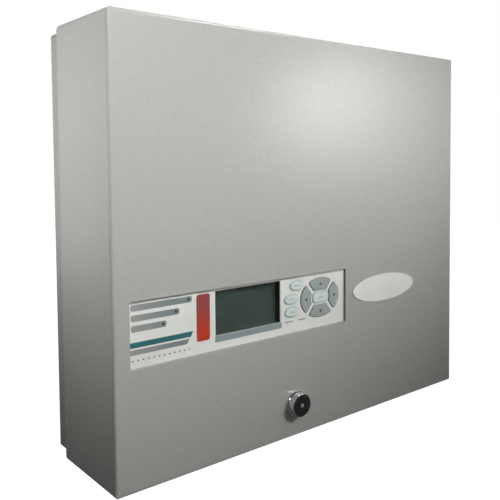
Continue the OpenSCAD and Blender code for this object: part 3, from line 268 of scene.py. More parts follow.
def anodised_aluminium():
    """Black anodised extrusion: dark satin metal with fine lines along its length."""
    lines = (0.6, 2.0, (1, 1, 0.03))
    return grained("anodised_aluminium", linear("26272A"), 0.4, (linear("1E1F21"), linear("34363A"), *lines),
                   (0.34, 0.5, *lines), (0.02, 1.0, *lines), metallic=1.0)


def tinned_copper():
    """Tinned leads and tabs: soft grey metal, a little cloudy."""
    return grained("tinned_copper", linear("BDBBB4"), 0.35, (linear("AFADA6"), linear("C9C7C1"), 2.0),
                   (0.28, 0.46, 0.8), metallic=1.0)


def worn_plug(highlight_start=1.1 * MM, highlight_end=1.9 * MM):
    """Black-plated lock plug with a painted highlight: pale round the keyway, fading to black further out."""
    low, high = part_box("lock_plug")
    middle = (low + high) / 2
    material, tree, shader, coords = surface("worn_plug", linear("C6C8C9"), 0.42, 0.25)
    across = add_node(tree, "ShaderNodeMapping", {"Vector": coords, "Location": (-middle.x, 0, -middle.z),
                                                  "Scale": (1, 0, 1)})
    reach = add_node(tree, "ShaderNodeVectorMath", {0: across}, operation="LENGTH").outputs["Value"]
    highlight_fade = add_node(tree, "ShaderNodeMapRange", {"Value": reach, "From Min": highlight_start, "From Max": highlight_end})
    vary_colour(tree, shader, highlight_fade, linear("AEB0AD"), linear("1D1E1D"), 0.0, 1.0)
    vary_roughness(tree, shader, coords, 0.36, 0.5, 0.5)
    return material


def polyester_film():
    """Back-printed polyester film: off-white with the fine matt emboss of a keypad overlay."""
    return grained("polyester_film", chosen("film"), 0.4, (0.97, 1.02, 14.0), (0.34, 0.48, 0.6),
                   (0.015, 1.0, 0.6))


def screen_ink(name, setting, share=1.0):
    """Screen-printed ink: flat and a little uneven where the mesh left it thin."""
    return grained(name, chosen(setting, share), 0.45, (0.93, 1.06, 0.9), (0.4, 0.55, 0.9))


def bar_ink(left=-0.165, right=-0.118):
    """Screen-printed grey: warm at the left end of a bar, cooler and darker towards the lamps."""
    colour = chosen("bar_ink")
    material, tree, shader, coords = surface("bar_ink", colour, 0.45)
    along = share_along(tree, coords, "X", left, right)
    vary_colour(tree, shader, along, linear("9C9D9C"), colour, 0.1, 0.7)
    vary_roughness(tree, shader, coords, 0.4, 0.55, 0.9)
    return material


def red_acrylic():
    """Tinted cast acrylic: glossy red, duller at the top where nothing lights it from behind."""
    low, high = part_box("alarm_window")
    material, tree, shader, coords = surface("red_acrylic", chosen("lens_low"), 0.16, IOR=1.49)
    rise = share_along(tree, coords, "Z", low.z, high.z)
    vary_colour(tree, shader, rise, chosen("lens_low"), chosen("lens_high"), 0.25, 0.75)
    vary_roughness(tree, shader, coords, 0.12, 0.2, 2.0)
    return material


def clear_pane(name, hex_colour, roughness, index, *haze):
    """Clear acrylic or glass: see-through, with a faint soft wipe haze."""
    material, tree, shader, coords = surface(name, linear(hex_colour), roughness, IOR=index,
                                             Transmission_Weight=1.0)
    vary_roughness(tree, shader, coords, *haze)
    return material


def liquid_crystal_glass():
    """Unlit liquid crystal cell: dark grey-green, with the grid of its dots just showing."""
    colour = chosen("display")
    material, tree, shader, coords = surface("liquid_crystal_glass", colour, 0.22)
    facing = add_node(tree, "ShaderNodeMapping", {"Vector": coords, "Rotation": UPRIGHT})
    dots = add_node(tree, "ShaderNodeTexBrick", {
        "Vector": facing, "Scale": 1.0, "Mortar Size": 0.06 * MM, "Brick Width": 0.47 * MM,
        "Row Height": 0.47 * MM, "Color1": colour, "Color2": shade(colour, 1.06),
        "Mortar": shade(colour, 0.85)}, offset=0.0)
    tree.links.new(dots.outputs["Color"], shader.inputs["Base Color"])
    vary_roughness(tree, shader, coords, 0.18, 0.28, 9.0)
    return material


def moulded_plastic(name, hex_colour, roughness, grain_mm=0.5, depth_mm=0.02):
    """Injection-moulded plastic: even colour, with the spark-eroded grain of its tool."""
    return grained(name, linear(hex_colour), roughness, (0.92, 1.08, 11.0),
                   (roughness - 0.06, roughness + 0.08, grain_mm), (depth_mm, 1.0, grain_mm))


def key_film(name, setting, share=1.0):
    """Satin polyester formed over a key: soft sheen and a faint grain."""
    return grained(name, chosen(setting, share), 0.36, (0.95, 1.04, 5.0), (0.3, 0.44, 0.7), (0.012, 1.0, 0.7))


def satin_vinyl():
    """Satin vinyl laminate on the badge: pale, smooth and softly glossy."""
    return grained("satin_vinyl", chosen("badge"), 0.3, (0.97, 1.03, 16.0), (0.26, 0.38, 1.0))


def foam_rubber():
    """Closed-cell polyethylene foam: grey, matt and full of small cells."""
    material, tree, shader, coords = surface("foam_rubber", linear("8E908C"), 0.9)
    cells = add_node(tree, "ShaderNodeTexVoronoi", {"Vector": coords, "Scale": 1 / (0.5 * MM)})
    add_bump(tree, shader, cells.outputs["Distance"], 0.15)
    vary_colour(tree, shader, noise(tree, coords, 3.0), linear("868884"), linear("979994"))
    return material


def solder_mask(hole_share=0.075):
    """Green solder mask over copper: tracks show as lighter raised lines, with tinned holes between them."""
    mask = chosen("mask")
    material, tree, shader, coords = surface("solder_mask", mask, 0.3)
    facing = add_node(tree, "ShaderNodeMapping", {"Vector": coords, "Rotation": UPRIGHT})
    tracks = add_node(tree, "ShaderNodeTexBrick", {
        "Vector": facing, "Scale": 1.0, "Mortar Size": 0.35 * MM, "Brick Width": 13.5 * MM,
        "Row Height": 2.1 * MM, "Color1": mask, "Color2": shade(mask, 0.8), "Mortar": shade(mask, 1.9)},
        offset=0.37, squash=0.6, squash_frequency=3)
    holes = add_node(tree, "ShaderNodeTexVoronoi", {"Vector": facing, "Scale": 1 / (6.5 * MM),
                                                    "Randomness": 0.85}, voronoi_dimensions="2D")
    ring = add_node(tree, "ShaderNodeMath", {0: holes.outputs["Distance"], 1: hole_share},
                    operation="LESS_THAN")
    tinned = add_node(tree, "ShaderNodeMix", {"Factor": ring, "A": tracks.outputs["Color"],
                                              "B": linear("C9C6BC")}, data_type="RGBA")
    tree.links.new(tinned.outputs["Result"], shader.inputs["Base Color"])
    tree.links.new(ring.outputs[0], shader.inputs["Metallic"])
    add_bump(tree, shader, tracks.outputs["Fac"], 0.04, 0.6)
    return material


def yellow_tape():
    """Polyester tape over the winding: glossy yellow in overlapping laps of 6.5 mm."""
    material, tree, shader, coords = surface("yellow_tape", linear("D6A62A"), 0.25)
    laps = add_node(tree, "ShaderNodeTexWave", {"Vector": coords, "Scale": 1 / (20 * 6.5 * MM),
                                                "Distortion": 0.4}, bands_direction="Z", wave_profile="SAW")
    vary_colour(tree, shader, laps.outputs["Fac"], linear("C7952A"), linear("E0B23A"), 0.1, 0.9)
    add_bump(tree, shader, laps.outputs["Fac"], 0.08)
    return material


# What makes each finish, and what it is given
FINISHES = {
    "coat": (polyester_powder_coat, "polyester_powder_coat", "coat"),
    "box_coat": (polyester_powder_coat, "box_powder_coat", "box_coat"),
    "zinc": (zinc_plate,),
    "chrome": (chrome_plate,),
    "worn": (worn_plug,),
    "film": (polyester_film,),
    "bar_ink": (bar_ink,),
    "teal_ink": (screen_ink, "teal_ink", "teal_ink"),
    "mark_ink": (screen_ink, "mark_ink", "mark_ink"),
    "strip_ink": (screen_ink, "strip_ink", "strip_ink"),
    "soft_ink": (screen_ink, "soft_ink", "soft_rim", 0.9),
    "lens": (red_acrylic,),
    "clear": (clear_pane, "clear_acrylic", "EEF2F0", 0.05, 1.49, 0.02, 0.08, 7.0),
    "fuse_tube": (clear_pane, "fuse_tube", "F2F5F3", 0.02, 1.5, 0.0, 0.04, 3.0),
    "display": (liquid_crystal_glass,),
    "smoked": (moulded_plastic, "smoked_epoxy", "454B47", 0.15, 2.0, 0.002),
    "lamp": (moulded_plastic, "white_epoxy", "E4E2D8", 0.2, 2.0, 0.002),
    "ring_key": (key_film, "grey_key_film", "ring_key"),
    # A darker copy of the ring keys' film: painted shade on their edges.
    "ring_key_painted_edge_shade": (key_film, "grey_key_edge", "ring_key", 0.62),
    "soft_key": (key_film, "mint_key_film", "soft_key"),
    "soft_edge": (key_film, "mint_key_edge", "soft_rim"),
    "badge": (satin_vinyl,),
    "foam": (foam_rubber,),
    "black": (moulded_plastic, "black_abs", "1B1C1E", 0.42),
    "plate": (moulded_plastic, "grey_abs", "3A403E", 0.5),
    "lock_black": (moulded_plastic, "black_zinc_alloy", "212221", 0.45, 0.4, 0.01),
    "chip": (moulded_plastic, "chip_epoxy", "202124", 0.5, 0.3, 0.015),
    "battery": (moulded_plastic, "battery_abs", "2A2B2E", 0.45, 0.8, 0.03),
    "nylon": (moulded_plastic, "natural_nylon", "DDD9CC", 0.4),
    "board": (solder_mask,),
    "terminal": (moulded_plastic, "green_polyamide", "2C7A45", 0.4),
    "relay": (moulded_plastic, "ivory_polyester", "E6E3D8", 0.3, 1.0, 0.01),
    "sleeve": (moulded_plastic, "pvc_sleeve", "1B2138", 0.25, 2.0, 0.01),
    "stripe": (moulded_plastic, "sleeve_stripe", "C7CBD2", 0.3, 2.0, 0.01),
    "ferrite": (moulded_plastic, "sintered_ferrite", "343536", 0.55, 0.4, 0.05),
    "tape": (yellow_tape,),
    "anodised": (anodised_aluminium,),
    "tinned": (tinned_copper,),
    "red_abs": (moulded_plastic, "red_abs", "A3231D", 0.4),
}
made_finishes = {}


def finish(name):
    """The named material, made the first time it is asked for."""
    if name not in made_finishes:
        maker, *given = FINISHES[name]
        made_finishes[name] = maker(*given)
    return made_finishes[name]


# Meshes


def on_face(u, v, y=OVERLAY_FACE):
    """A place on the cover's front, from u and v in millimetres."""
    return Vector((COVER_LOW.x + u * MM, y, COVER_LOW.z + v * MM))


def face_middle(low, high):
    """u and v, in millimetres, of the middle of a box."""
    middle = (low + high) / 2
    return (middle.x - COVER_LOW.x) / MM, (middle.z - COVER_LOW.z) / MM


def linked(name, data):
    """A new object in the scene."""
    obj = bpy.data.objects.new(name, data)
    bpy.context.scene.collection.objects.link(obj)
    return obj


def mesh_of(name, bm):
    """A new mesh from a bmesh, which is freed."""
    mesh = bpy.data.meshes.new(name)
    bm.to_mesh(mesh)
    bm.free()
    return mesh


def discard(obj):
    """Removes an object and its mesh."""
    mesh = obj.data
    bpy.data.objects.remove(obj)
    bpy.data.meshes.remove(mesh)


def applied(obj):
    """The plain mesh that an object's modifiers give, in place of the object."""
    graph = bpy.context.evaluated_depsgraph_get()
    made = bpy.data.meshes.new_from_object(obj.evaluated_get(graph), preserve_all_data_layers=True,
                                           depsgraph=graph)
    name = obj.name
    discard(obj)
    made.name = name
    return made


def merged(bm):
    """Merges doubles, joins flat faces and returns the bmesh."""
    bmesh.ops.remove_doubles(bm, verts=bm.verts, dist=MERGE)
    bmesh.ops.dissolve_limit(bm, angle_limit=FLAT, verts=bm.verts, edges=bm.edges)
    return bm


def closed(bm):
    """Points every face outwards and returns the bmesh."""
    bmesh.ops.recalc_face_normals(bm, faces=bm.faces)
    return bm


def node_mesh(node):
    """Copy of a CAD node's mesh with its triangles merged and its flat faces joined."""
    bm = bmesh.new()
    bm.from_mesh(frame["nodes"][node].data)
    return merged(bm)


def corners_of(verts):
    """Lowest and highest corner of some vertices."""
    low = Vector([min(v.co[i] for v in verts) for i in range(3)])
    high = Vector([max(v.co[i] for v in verts) for i in range(3)])
    return low, high


def solids(node):
    """Lowest and highest corner of each separate solid in a CAD node, left to right and then upwards."""
    bm = node_mesh(node)
    left = set(bm.verts)
    boxes = []
    while left:
        reached = [left.pop()]
        island = list(reached)
        while reached:
            for edge in reached.pop().link_edges:
                for vert in edge.verts:
                    if vert in left:
                        left.discard(vert)
                        reached.append(vert)
                        island.append(vert)
        boxes.append(corners_of(island))
    bm.free()
    return sorted(boxes, key=lambda box: (round(box[0].x, 5), round(box[0].z, 5)))


def round_edges(bm, width, segments=2):
    """Rounds every edge that is sharper than a smooth curve's."""
    edges = [e for e in bm.edges if e.is_manifold and e.calc_face_angle(0) > SHARP]
    bmesh.ops.bevel(bm, geom=edges, offset=width, segments=segments, profile=0.5, affect="EDGES",
                    clamp_overlap=True)


def place(name, mesh, like, replaces=False):
    """Makes a finished mesh a piece on the body of a CAD node, which it may replace."""
    obj = linked(name, mesh)
    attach(obj, BODY_OF[like])
    if replaces:
        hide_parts(like)


def place_solid(name, bm, finishes, like, replaces=False):
    """Makes a bmesh a smooth piece whose large faces stay flat."""
    mesh = mesh_of(name, bm)
    for item in finishes:
        mesh.materials.append(finish(item))
    mesh.shade_smooth()
    mesh.set_sharp_from_angle(angle=SHARP)
    obj = linked(name, mesh)
    weights = obj.modifiers.new("weights", "WEIGHTED_NORMAL")
    weights.keep_sharp = True
    place(name, applied(obj), like, replaces)


def pillow(bm, rings, shoulder=0.3 * MM, sharpest=0.3):
    """Swells the foremost flat face: each ring lies in by a width and out by a height, in millimetres."""
    bm.normal_update()
    front = min(v.co.y for v in bm.verts)
    flat = [f for f in bm.faces if f.normal.y < -0.99 and f.calc_center_median().y < front + 0.01 * MM]
    face = max(flat, key=lambda f: f.calc_area())
    outer = list(face.verts)
    bmesh.ops.delete(bm, geom=[face], context="FACES_ONLY")
    points = [Vector((v.co.x, v.co.z)) for v in outer]
    count = len(points)
    turn = sum(p.cross(points[(i + 1) % count]) for i, p in enumerate(points))
    shifts = []
    for i, point in enumerate(points):
        before = (point - points[i - 1]).normalized()
        after = (points[(i + 1) % count] - point).normalized()
        inward = [Vector((-d.y, d.x)) * math.copysign(1, turn) for d in (before, after)]
        middle = (inward[0] + inward[1]).normalized()
        shifts.append(middle / max(middle.dot(inward[0]), sharpest))
    for vert in outer:
        vert.co.y = front + shoulder
    for inset, rise in rings:
        inner = []
        for point, shift in zip(points, shifts):
            moved = point + shift * inset * MM
            inner.append(bm.verts.new((moved.x, front - rise * MM, moved.y)))
        for i in range(count):
            j = (i + 1) % count
            bm.faces.new((outer[i], outer[j], inner[j], inner[i]))
        outer = inner
    bm.faces.new(outer)


def dress(node, finishes, edge_mm=0.2, segments=2, pick=None, swell=(), corner=0.0):
    """Replaces a CAD node by a copy with rounded edges; pick gives a face's finish if there are several."""
    bm = node_mesh(node)
    if corner:
        bm = trim_corners(bm, corner)
    if swell:
        pillow(bm, swell)
    if edge_mm:
        round_edges(bm, edge_mm * MM, segments)
    if pick:
        bm.normal_update()
        for face in bm.faces:
            face.material_index = pick(face)
    place_solid(node + "_finished", bm, finishes, node, True)


def dress_all(rows):
    """Dresses nodes of one finish: a row holds the node, the finish, the edge and the edge's segments."""
    for node, item, *edge in rows:
        dress(node, [item], *edge)


def paint(node, item):
    """Gives a CAD node a finish and leaves its mesh as it is."""
    materials = frame["nodes"][node].data.materials
    materials.clear()
    materials.append(finish(item))


def rounded_corners(low, high, radius, steps):
    """Points round a rectangle with rounded corners, from two corners of it."""
    points = []
    for a, b, start in ((high[0] - radius, low[1] + radius, -90), (high[0] - radius, high[1] - radius, 0),
                        (low[0] + radius, high[1] - radius, 90), (low[0] + radius, low[1] + radius, 180)):
        for i in range(steps + 1):
            angle = math.radians(start + 90 * i / steps)
            points.append((a + radius * math.cos(angle), b + radius * math.sin(angle)))
    return points


def rounded_outline(u0, v0, u1, v1, radius, steps=6):
    """Outline of a rounded rectangle on the cover's front, in millimetres, as X and Z points."""
    return [on_face(u, v).xz for u, v in rounded_corners((u0, v0), (u1, v1), radius, steps)]


def trim_corners(bm, radius, steps=8):
    """Rounds the four corners that run from front to rear: what stands outside a rounded prism is cut off."""
    low, high = corners_of(bm.verts)
    cutter = bmesh.new()
    add_prism(cutter, rounded_corners(low.xz, high.xz, radius, steps), low.y - MM, high.y + MM)
    whole = linked("trimmed", mesh_of("trimmed", bm))
    trimmer = linked("trimmer", mesh_of("trimmer", closed(cutter)))
    cut = whole.modifiers.new("trim", "BOOLEAN")
    cut.operation = "INTERSECT"
    cut.solver = "EXACT"
    cut.object = trimmer
    trimmed = applied(whole)
    discard(trimmer)
    made = bmesh.new()
    made.from_mesh(trimmed)
    bpy.data.meshes.remove(trimmed)
    return merged(made)


def add_prism(bm, outline, y0, y1, material_index=0):
    """Adds a closed prism: an outline of X and Z points, from y0 in front to y1 behind."""
    front = [bm.verts.new((x, y0, z)) for x, z in outline]
    rear = [bm.verts.new((x, y1, z)) for x, z in outline]
    count = len(outline)
    faces = [bm.faces.new(front), bm.faces.new(reversed(rear))]
    for i in range(count):
        j = (i + 1) % count
        faces.append(bm.faces.new((front[j], front[i], rear[i], rear[j])))
    for face in faces:
        face.material_index = material_index


def add_box(bm, low, high, material_index=0):
    """Adds a closed box between two corners."""
    outline = [(low[0], low[2]), (high[0], low[2]), (high[0], high[2]), (low[0], high[2])]
    add_prism(bm, outline, low[1], high[1], material_index)


def add_turned(bm, profile, centre, axis, steps=32):
    """Adds a solid turned about an axis: profile holds radius and distance, from pole to pole."""
    turn = Vector(axis).to_track_quat("Z", "Y").to_matrix()
    angles = [2 * math.pi * i / steps for i in range(steps)]
    rings = []
    for radius, distance in profile:
        around = angles if radius > MERGE else [0.0]
        points = [Vector((radius * math.cos(a), radius * math.sin(a), distance)) for a in around]
        rings.append([bm.verts.new(Vector(centre) + turn @ point) for point in points])
    for below, above in zip(rings, rings[1:]):
        for i in range(steps):
            j = (i + 1) % steps
            ring = [below[k % len(below)] for k in (i, j)] + [above[k % len(above)] for k in (j, i)]
            bm.faces.new(list(dict.fromkeys(ring)))


# Geometry Nodes


def new_tree(name, inputs):
    """A geometry tree with named inputs; returns it with its input and output nodes."""
    tree = bpy.data.node_groups.new(name, "GeometryNodeTree")
    tree.interface.new_socket("Geometry", in_out="INPUT", socket_type="NodeSocketGeometry")
    for label, kind in inputs.items():
        tree.interface.new_socket(label, in_out="INPUT", socket_type=kind)
    tree.interface.new_socket("Geometry", in_out="OUTPUT", socket_type="NodeSocketGeometry")
    return tree, tree.nodes.new("NodeGroupInput").outputs, tree.nodes.new("NodeGroupOutput")


def grow(name, tree, places, values, like, replaces=False):
    """Runs a tree on points, or on a mesh, and makes the plain mesh that comes of it a piece."""
    mesh = places
    if isinstance(places, list):
        mesh = bpy.data.meshes.new(name + "_places")
        mesh.from_pydata([tuple(p) for p in places], [], [])
    obj = linked(name, mesh)
    modifier = obj.modifiers.new(tree.name, "NODES")
    modifier.node_group = tree
    for item in tree.interface.items_tree:
        if item.item_type == "SOCKET" and item.in_out == "INPUT" and item.name in values:
            modifier[item.identifier] = values[item.name]
    made = applied(obj)
    if not made.polygons:
        raise RuntimeError(f"{name}: the tree made nothing")
    place(name, made, like, replaces)


def set_on_points(tree, made, points, shape, rotation, spin=None, material=None):
    """Ends a tree: a shape on every point, spun about its own Z where a spin is given, as realized
    instances whose material is set where the shape has none yet."""
    last = add_node(tree, "GeometryNodeInstanceOnPoints", {"Points": points, "Instance": shape,
                                                           "Rotation": rotation})
    if spin is not None:
        about = add_node(tree, "ShaderNodeCombineXYZ", {"Z": spin})
        last = add_node(tree, "GeometryNodeRotateInstances", {"Instances": last, "Rotation": about})
    last = add_node(tree, "GeometryNodeRealizeInstances", {"Geometry": last})
    if material is not None:
        last = add_node(tree, "GeometryNodeSetMaterial", {"Geometry": last, "Material": material})
    tree.links.new(last.outputs[0], made.inputs["Geometry"])
    return tree


def screw_tree(material):
    """Domed screw heads with a slot or a cross, each turned at random, on every point."""
    labels = ("Head diameter", "Head height", "Dome", "Shank diameter", "Shank length", "Recess width",
              "Recess depth", "Recess length")
    kinds = dict.fromkeys(labels, "NodeSocketFloat")
    kinds |= {"Cross": "NodeSocketBool", "Axis": "NodeSocketVector", "Seed": "NodeSocketInt"}
    tree, given, made = new_tree("screw_heads", kinds)
    radius, shank_radius, half, below = [
        add_node(tree, "ShaderNodeMath", {0: given[size], 1: share}, operation="MULTIPLY")
        for size, share in (("Head diameter", 0.5), ("Shank diameter", 0.5), ("Head height", 0.5),
                            ("Shank length", -0.5))]
    # The head is a cylinder whose top sinks with the square of the distance from its middle.
    head = add_node(tree, "GeometryNodeMeshCylinder", {
        "Vertices": 24, "Side Segments": 2, "Fill Segments": 4, "Radius": radius,
        "Depth": given["Head height"]})
    lift = add_node(tree, "ShaderNodeCombineXYZ", {"Z": half})
    up = add_node(tree, "GeometryNodeTransform", {"Geometry": head, "Translation": lift})
    where = add_node(tree, "GeometryNodeInputPosition")
    x, y, z = add_node(tree, "ShaderNodeSeparateXYZ", {"Vector": where}).outputs
    x2 = add_node(tree, "ShaderNodeMath", {0: x, 1: x}, operation="MULTIPLY")
    r2 = add_node(tree, "ShaderNodeMath", {0: y, 1: y, 2: x2}, operation="MULTIPLY_ADD")
    full2 = add_node(tree, "ShaderNodeMath", {0: radius, 1: radius}, operation="MULTIPLY")
    share = add_node(tree, "ShaderNodeMath", {0: r2, 1: full2}, operation="DIVIDE")
    sink = add_node(tree, "ShaderNodeMath", {0: share, 1: given["Dome"]}, operation="MULTIPLY")
    drop = add_node(tree, "ShaderNodeMath", {0: 0.0, 1: sink}, operation="SUBTRACT")
    fall = add_node(tree, "ShaderNodeCombineXYZ", {"Z": drop})
    top = add_node(tree, "FunctionNodeCompare", {0: z, 1: half}, data_type="FLOAT", operation="GREATER_THAN")
    domed = add_node(tree, "GeometryNodeSetPosition", {"Geometry": up, "Selection": top, "Offset": fall})
    # One bar cuts a slot, and the same bar turned by a quarter makes it a cross.
    bar_size = add_node(tree, "ShaderNodeCombineXYZ", {
        "X": given["Recess length"], "Y": given["Recess width"], "Z": given["Recess depth"]})
    bar = add_node(tree, "GeometryNodeMeshCube", {"Size": bar_size})
    raised = add_node(tree, "ShaderNodeCombineXYZ", {"Z": given["Head height"]})
    slot = add_node(tree, "GeometryNodeTransform", {"Geometry": bar, "Translation": raised})
    turned = add_node(tree, "GeometryNodeTransform", {"Geometry": slot, "Rotation": (0, 0, math.pi / 2)})
    second = add_node(tree, "GeometryNodeSwitch", {"Switch": given["Cross"], "False": slot, "True": turned},
                      input_type="GEOMETRY")
    cut = add_node(tree, "GeometryNodeMeshBoolean", {"Mesh 1": domed, "Mesh 2": [slot, second]},
                   operation="DIFFERENCE", solver="EXACT")
    shank = add_node(tree, "GeometryNodeMeshCylinder", {
        "Vertices": 16, "Radius": shank_radius, "Depth": given["Shank length"]})
    deep = add_node(tree, "ShaderNodeCombineXYZ", {"Z": below})
    rod = add_node(tree, "GeometryNodeTransform", {"Geometry": shank, "Translation": deep})
    whole = add_node(tree, "GeometryNodeJoinGeometry", {"Geometry": [cut, rod]})
    facing = add_node(tree, "FunctionNodeAlignRotationToVector", {"Vector": given["Axis"]}, axis="Z")
    spin = add_node(tree, "FunctionNodeRandomValue", {"Min": 0.0, "Max": math.pi, "Seed": given["Seed"]},
                    data_type="FLOAT")
    return set_on_points(tree, made, given["Geometry"], whole, facing, spin.outputs["Value"], material)


def small_parts_tree(body_material, end_material):
    """Small chip parts with tinned ends, scattered on the faces of a board at right angles to its edges."""
    tree, given, made = new_tree("small_parts", {"Length": "NodeSocketFloat", "Spacing": "NodeSocketFloat",
                                                 "Seed": "NodeSocketInt"})
    # Shares of the length: size along, across and up, shift along and lift
    blocks = []
    for shares, material in (((1.0, 0.5, 0.32, 0.0, 0.16), body_material),
                             ((0.2, 0.53, 0.35, 0.4, 0.175), end_material),
                             ((0.2, 0.53, 0.35, -0.4, 0.175), end_material)):
        along, across, up, shift, lift = [
            add_node(tree, "ShaderNodeMath", {0: given["Length"], 1: share}, operation="MULTIPLY")
            for share in shares]
        size = add_node(tree, "ShaderNodeCombineXYZ", {"X": along, "Y": across, "Z": up})
        cube = add_node(tree, "GeometryNodeMeshCube", {"Size": size})
        move = add_node(tree, "ShaderNodeCombineXYZ", {"X": shift, "Z": lift})
        moved = add_node(tree, "GeometryNodeTransform", {"Geometry": cube, "Translation": move})
        blocks.append(add_node(tree, "GeometryNodeSetMaterial", {"Geometry": moved, "Material": material}))
    whole = add_node(tree, "GeometryNodeJoinGeometry", {"Geometry": blocks})
    scatter = add_node(tree, "GeometryNodeDistributePointsOnFaces", {
        "Mesh": given["Geometry"], "Distance Min": given["Spacing"], "Density Max": 90000.0,
        "Seed": given["Seed"]}, distribute_method="POISSON").outputs
    quarter = add_node(tree, "FunctionNodeRandomValue", {4: 0, 5: 1, "Seed": given["Seed"]}, data_type="INT")
    turn = add_node(tree, "ShaderNodeMath", {0: quarter.outputs[2], 1: math.pi / 2}, operation="MULTIPLY")
    return set_on_points(tree, made, scatter["Points"], whole, scatter["Rotation"], turn)


def dot_tree(material):
    """Flat round dots of ink on every point."""
    tree, given, made = new_tree("ink_dots", {"Diameter": "NodeSocketFloat", "Thickness": "NodeSocketFloat"})
    radius = add_node(tree, "ShaderNodeMath", {0: given["Diameter"], 1: 0.5}, operation="MULTIPLY")
    disc = add_node(tree, "GeometryNodeMeshCylinder", {
        "Vertices": 16, "Radius": radius, "Depth": given["Thickness"]})
    return set_on_points(tree, made, given["Geometry"], disc, UPRIGHT, material=material)


# Operators


class PANEL_OT_stage(Operator):
    """Build the floor, the soft lights, the white surround and the camera"""
    bl_idname = "panel.stage"
    bl_label = "Studio"

    # The way to the backdrop, and how far along it the floor and the world start and end to show as white
    backdrop_way = (0.65, 0.76, 0.0)
    floor_reach = (1.5, 3.0)
    world_reach = (0.75, 0.95)
    # Heights between which the world's own light rises, and its strength below and above
    world_rise = (-0.5, 0.9)
    world_light = (0.047, 0.092)
    lights = (
        # name, place, aim, diameter, spread in degrees, power
        ("front_light", (-0.500, -0.620, 0.360), (-0.170, -0.09, 0.130), 0.30, 32, 0.136),
        ("gloss_light", (0.710, -0.794, 0.173), (0.144, -0.09, 0.048), 0.24, 21, 0.068),
        ("left_light", (-0.497, 0.202, 0.118), (-0.113, -0.09, 0.081), 0.30, 53, 0.106),
        ("low_left_light", (-0.600, 0.260, 0.060), (-0.150, -0.08, 0.110), 0.18, 42, 0.139),
        ("tall_light", (0.350, -1.050, 0.950), (-0.120, -0.09, 0.290), 0.90, 28, 1.434),
        ("wide_light", (0.147, -0.524, 0.812), (-0.451, -0.09, 0.420), 1.30, 41, 1.089),
        ("cover_light", (-1.0, -0.30, 0.22), (-0.27, -0.34, 0.0), 0.40, 9, 0.20),
        ("rear_light", (0.9, 1.1, 0.3), (0.05, 0.0, 0.0), 1.20, 60, 3.4),
    )
    # These two stand for one wide screen, which leaves no bright line on the bend of the cover.
    without_glints = ("left_light", "low_left_light")

    def execute(self, context):
        stage = settings().stage
        self.make_floor(stage.floor_drop)
        self.make_world(context.scene)
        self.make_lights()
        self.make_camera(context.scene, stage)
        context.scene.view_settings.view_transform = "Standard"
        return {"FINISHED"}

    def make_floor(self, drop, half_width=6.0, white_share=0.9, white_strength=1.2):
        """A pale floor that shows as white and keeps the panel's shadow."""
        bm = bmesh.new()
        bmesh.ops.create_grid(bm, x_segments=1, y_segments=1, size=half_width)
        floor = linked("floor", mesh_of("floor", bm))
        floor.location = (0, 0, -drop)
        material, tree, shader, coords = surface("pale_floor", linear("B2B2AF"), 0.8)
        vary_colour(tree, shader, noise(tree, coords, 400.0), linear("AFAFAC"), linear("B5B5B2"))
        seen = self.sees_white(tree, coords, self.floor_reach)
        part = add_node(tree, "ShaderNodeMath", {0: seen, 1: white_share}, operation="MULTIPLY")
        white = add_node(tree, "ShaderNodeEmission", {"Color": WHITE, "Strength": white_strength})
        mixed = add_node(tree, "ShaderNodeMixShader", {0: part, 1: shader, 2: white})
        tree.links.new(mixed.outputs[0], tree.nodes["Material Output"].inputs["Surface"])
        floor.data.materials.append(material)

    def sees_white(self, tree, coords, reach):
        """One for rays from the camera, and for mirrored or transmitted rays that go to the backdrop."""
        depth = add_node(tree, "ShaderNodeVectorMath", {0: coords, 1: self.backdrop_way},
                         operation="DOT_PRODUCT")
        behind = add_node(tree, "ShaderNodeMapRange", {"Value": depth.outputs["Value"], "From Min": reach[0],
                                                       "From Max": reach[1]})
        path = add_node(tree, "ShaderNodeLightPath").outputs
        bent = add_node(tree, "ShaderNodeMath", {0: path["Is Glossy Ray"], 1: path["Is Transmission Ray"]},
                        operation="MAXIMUM")
        backdrop = add_node(tree, "ShaderNodeMath", {0: bent, 1: behind}, operation="MULTIPLY")
        return add_node(tree, "ShaderNodeMath", {0: path["Is Camera Ray"], 1: backdrop}, operation="MAXIMUM")

    def make_world(self, scene):
        """A soft surround, brighter above, that shows as white."""
        world = bpy.data.worlds.new("white_surround")
        scene.world = world
        world.use_nodes = True
        tree = world.node_tree
        tree.nodes.clear()
        coords = add_node(tree, "ShaderNodeTexCoord").outputs["Generated"]
        rise = share_along(tree, coords, "Z", *self.world_rise)
        rise.inputs["To Min"].default_value, rise.inputs["To Max"].default_value = self.world_light
        soft = add_node(tree, "ShaderNodeBackground", {"Color": WHITE, "Strength": rise})
        white = add_node(tree, "ShaderNodeBackground", {"Color": WHITE, "Strength": 1.0})
        seen = self.sees_white(tree, coords, self.world_reach)
        mixed = add_node(tree, "ShaderNodeMixShader", {0: seen, 1: soft, 2: white})
        tree.nodes.active = add_node(tree, "ShaderNodeOutputWorld", {"Surface": mixed})

    def make_lights(self):
        """Round soft lamps, which the camera doesn't see."""
        for name, place_at, aim, width, spread, power in self.lights:
            lamp = bpy.data.lights.new(name, "AREA")
            lamp.shape = "DISK"
            lamp.size = width
            lamp.spread = math.radians(spread)
            lamp.energy = power
            light = linked(name, lamp)
            light.location = place_at
            light.visible_camera = False
            light.visible_glossy = name not in self.without_glints
            light.rotation_euler = (Vector(aim) - Vector(place_at)).to_track_quat("-Z", "Y").to_euler()

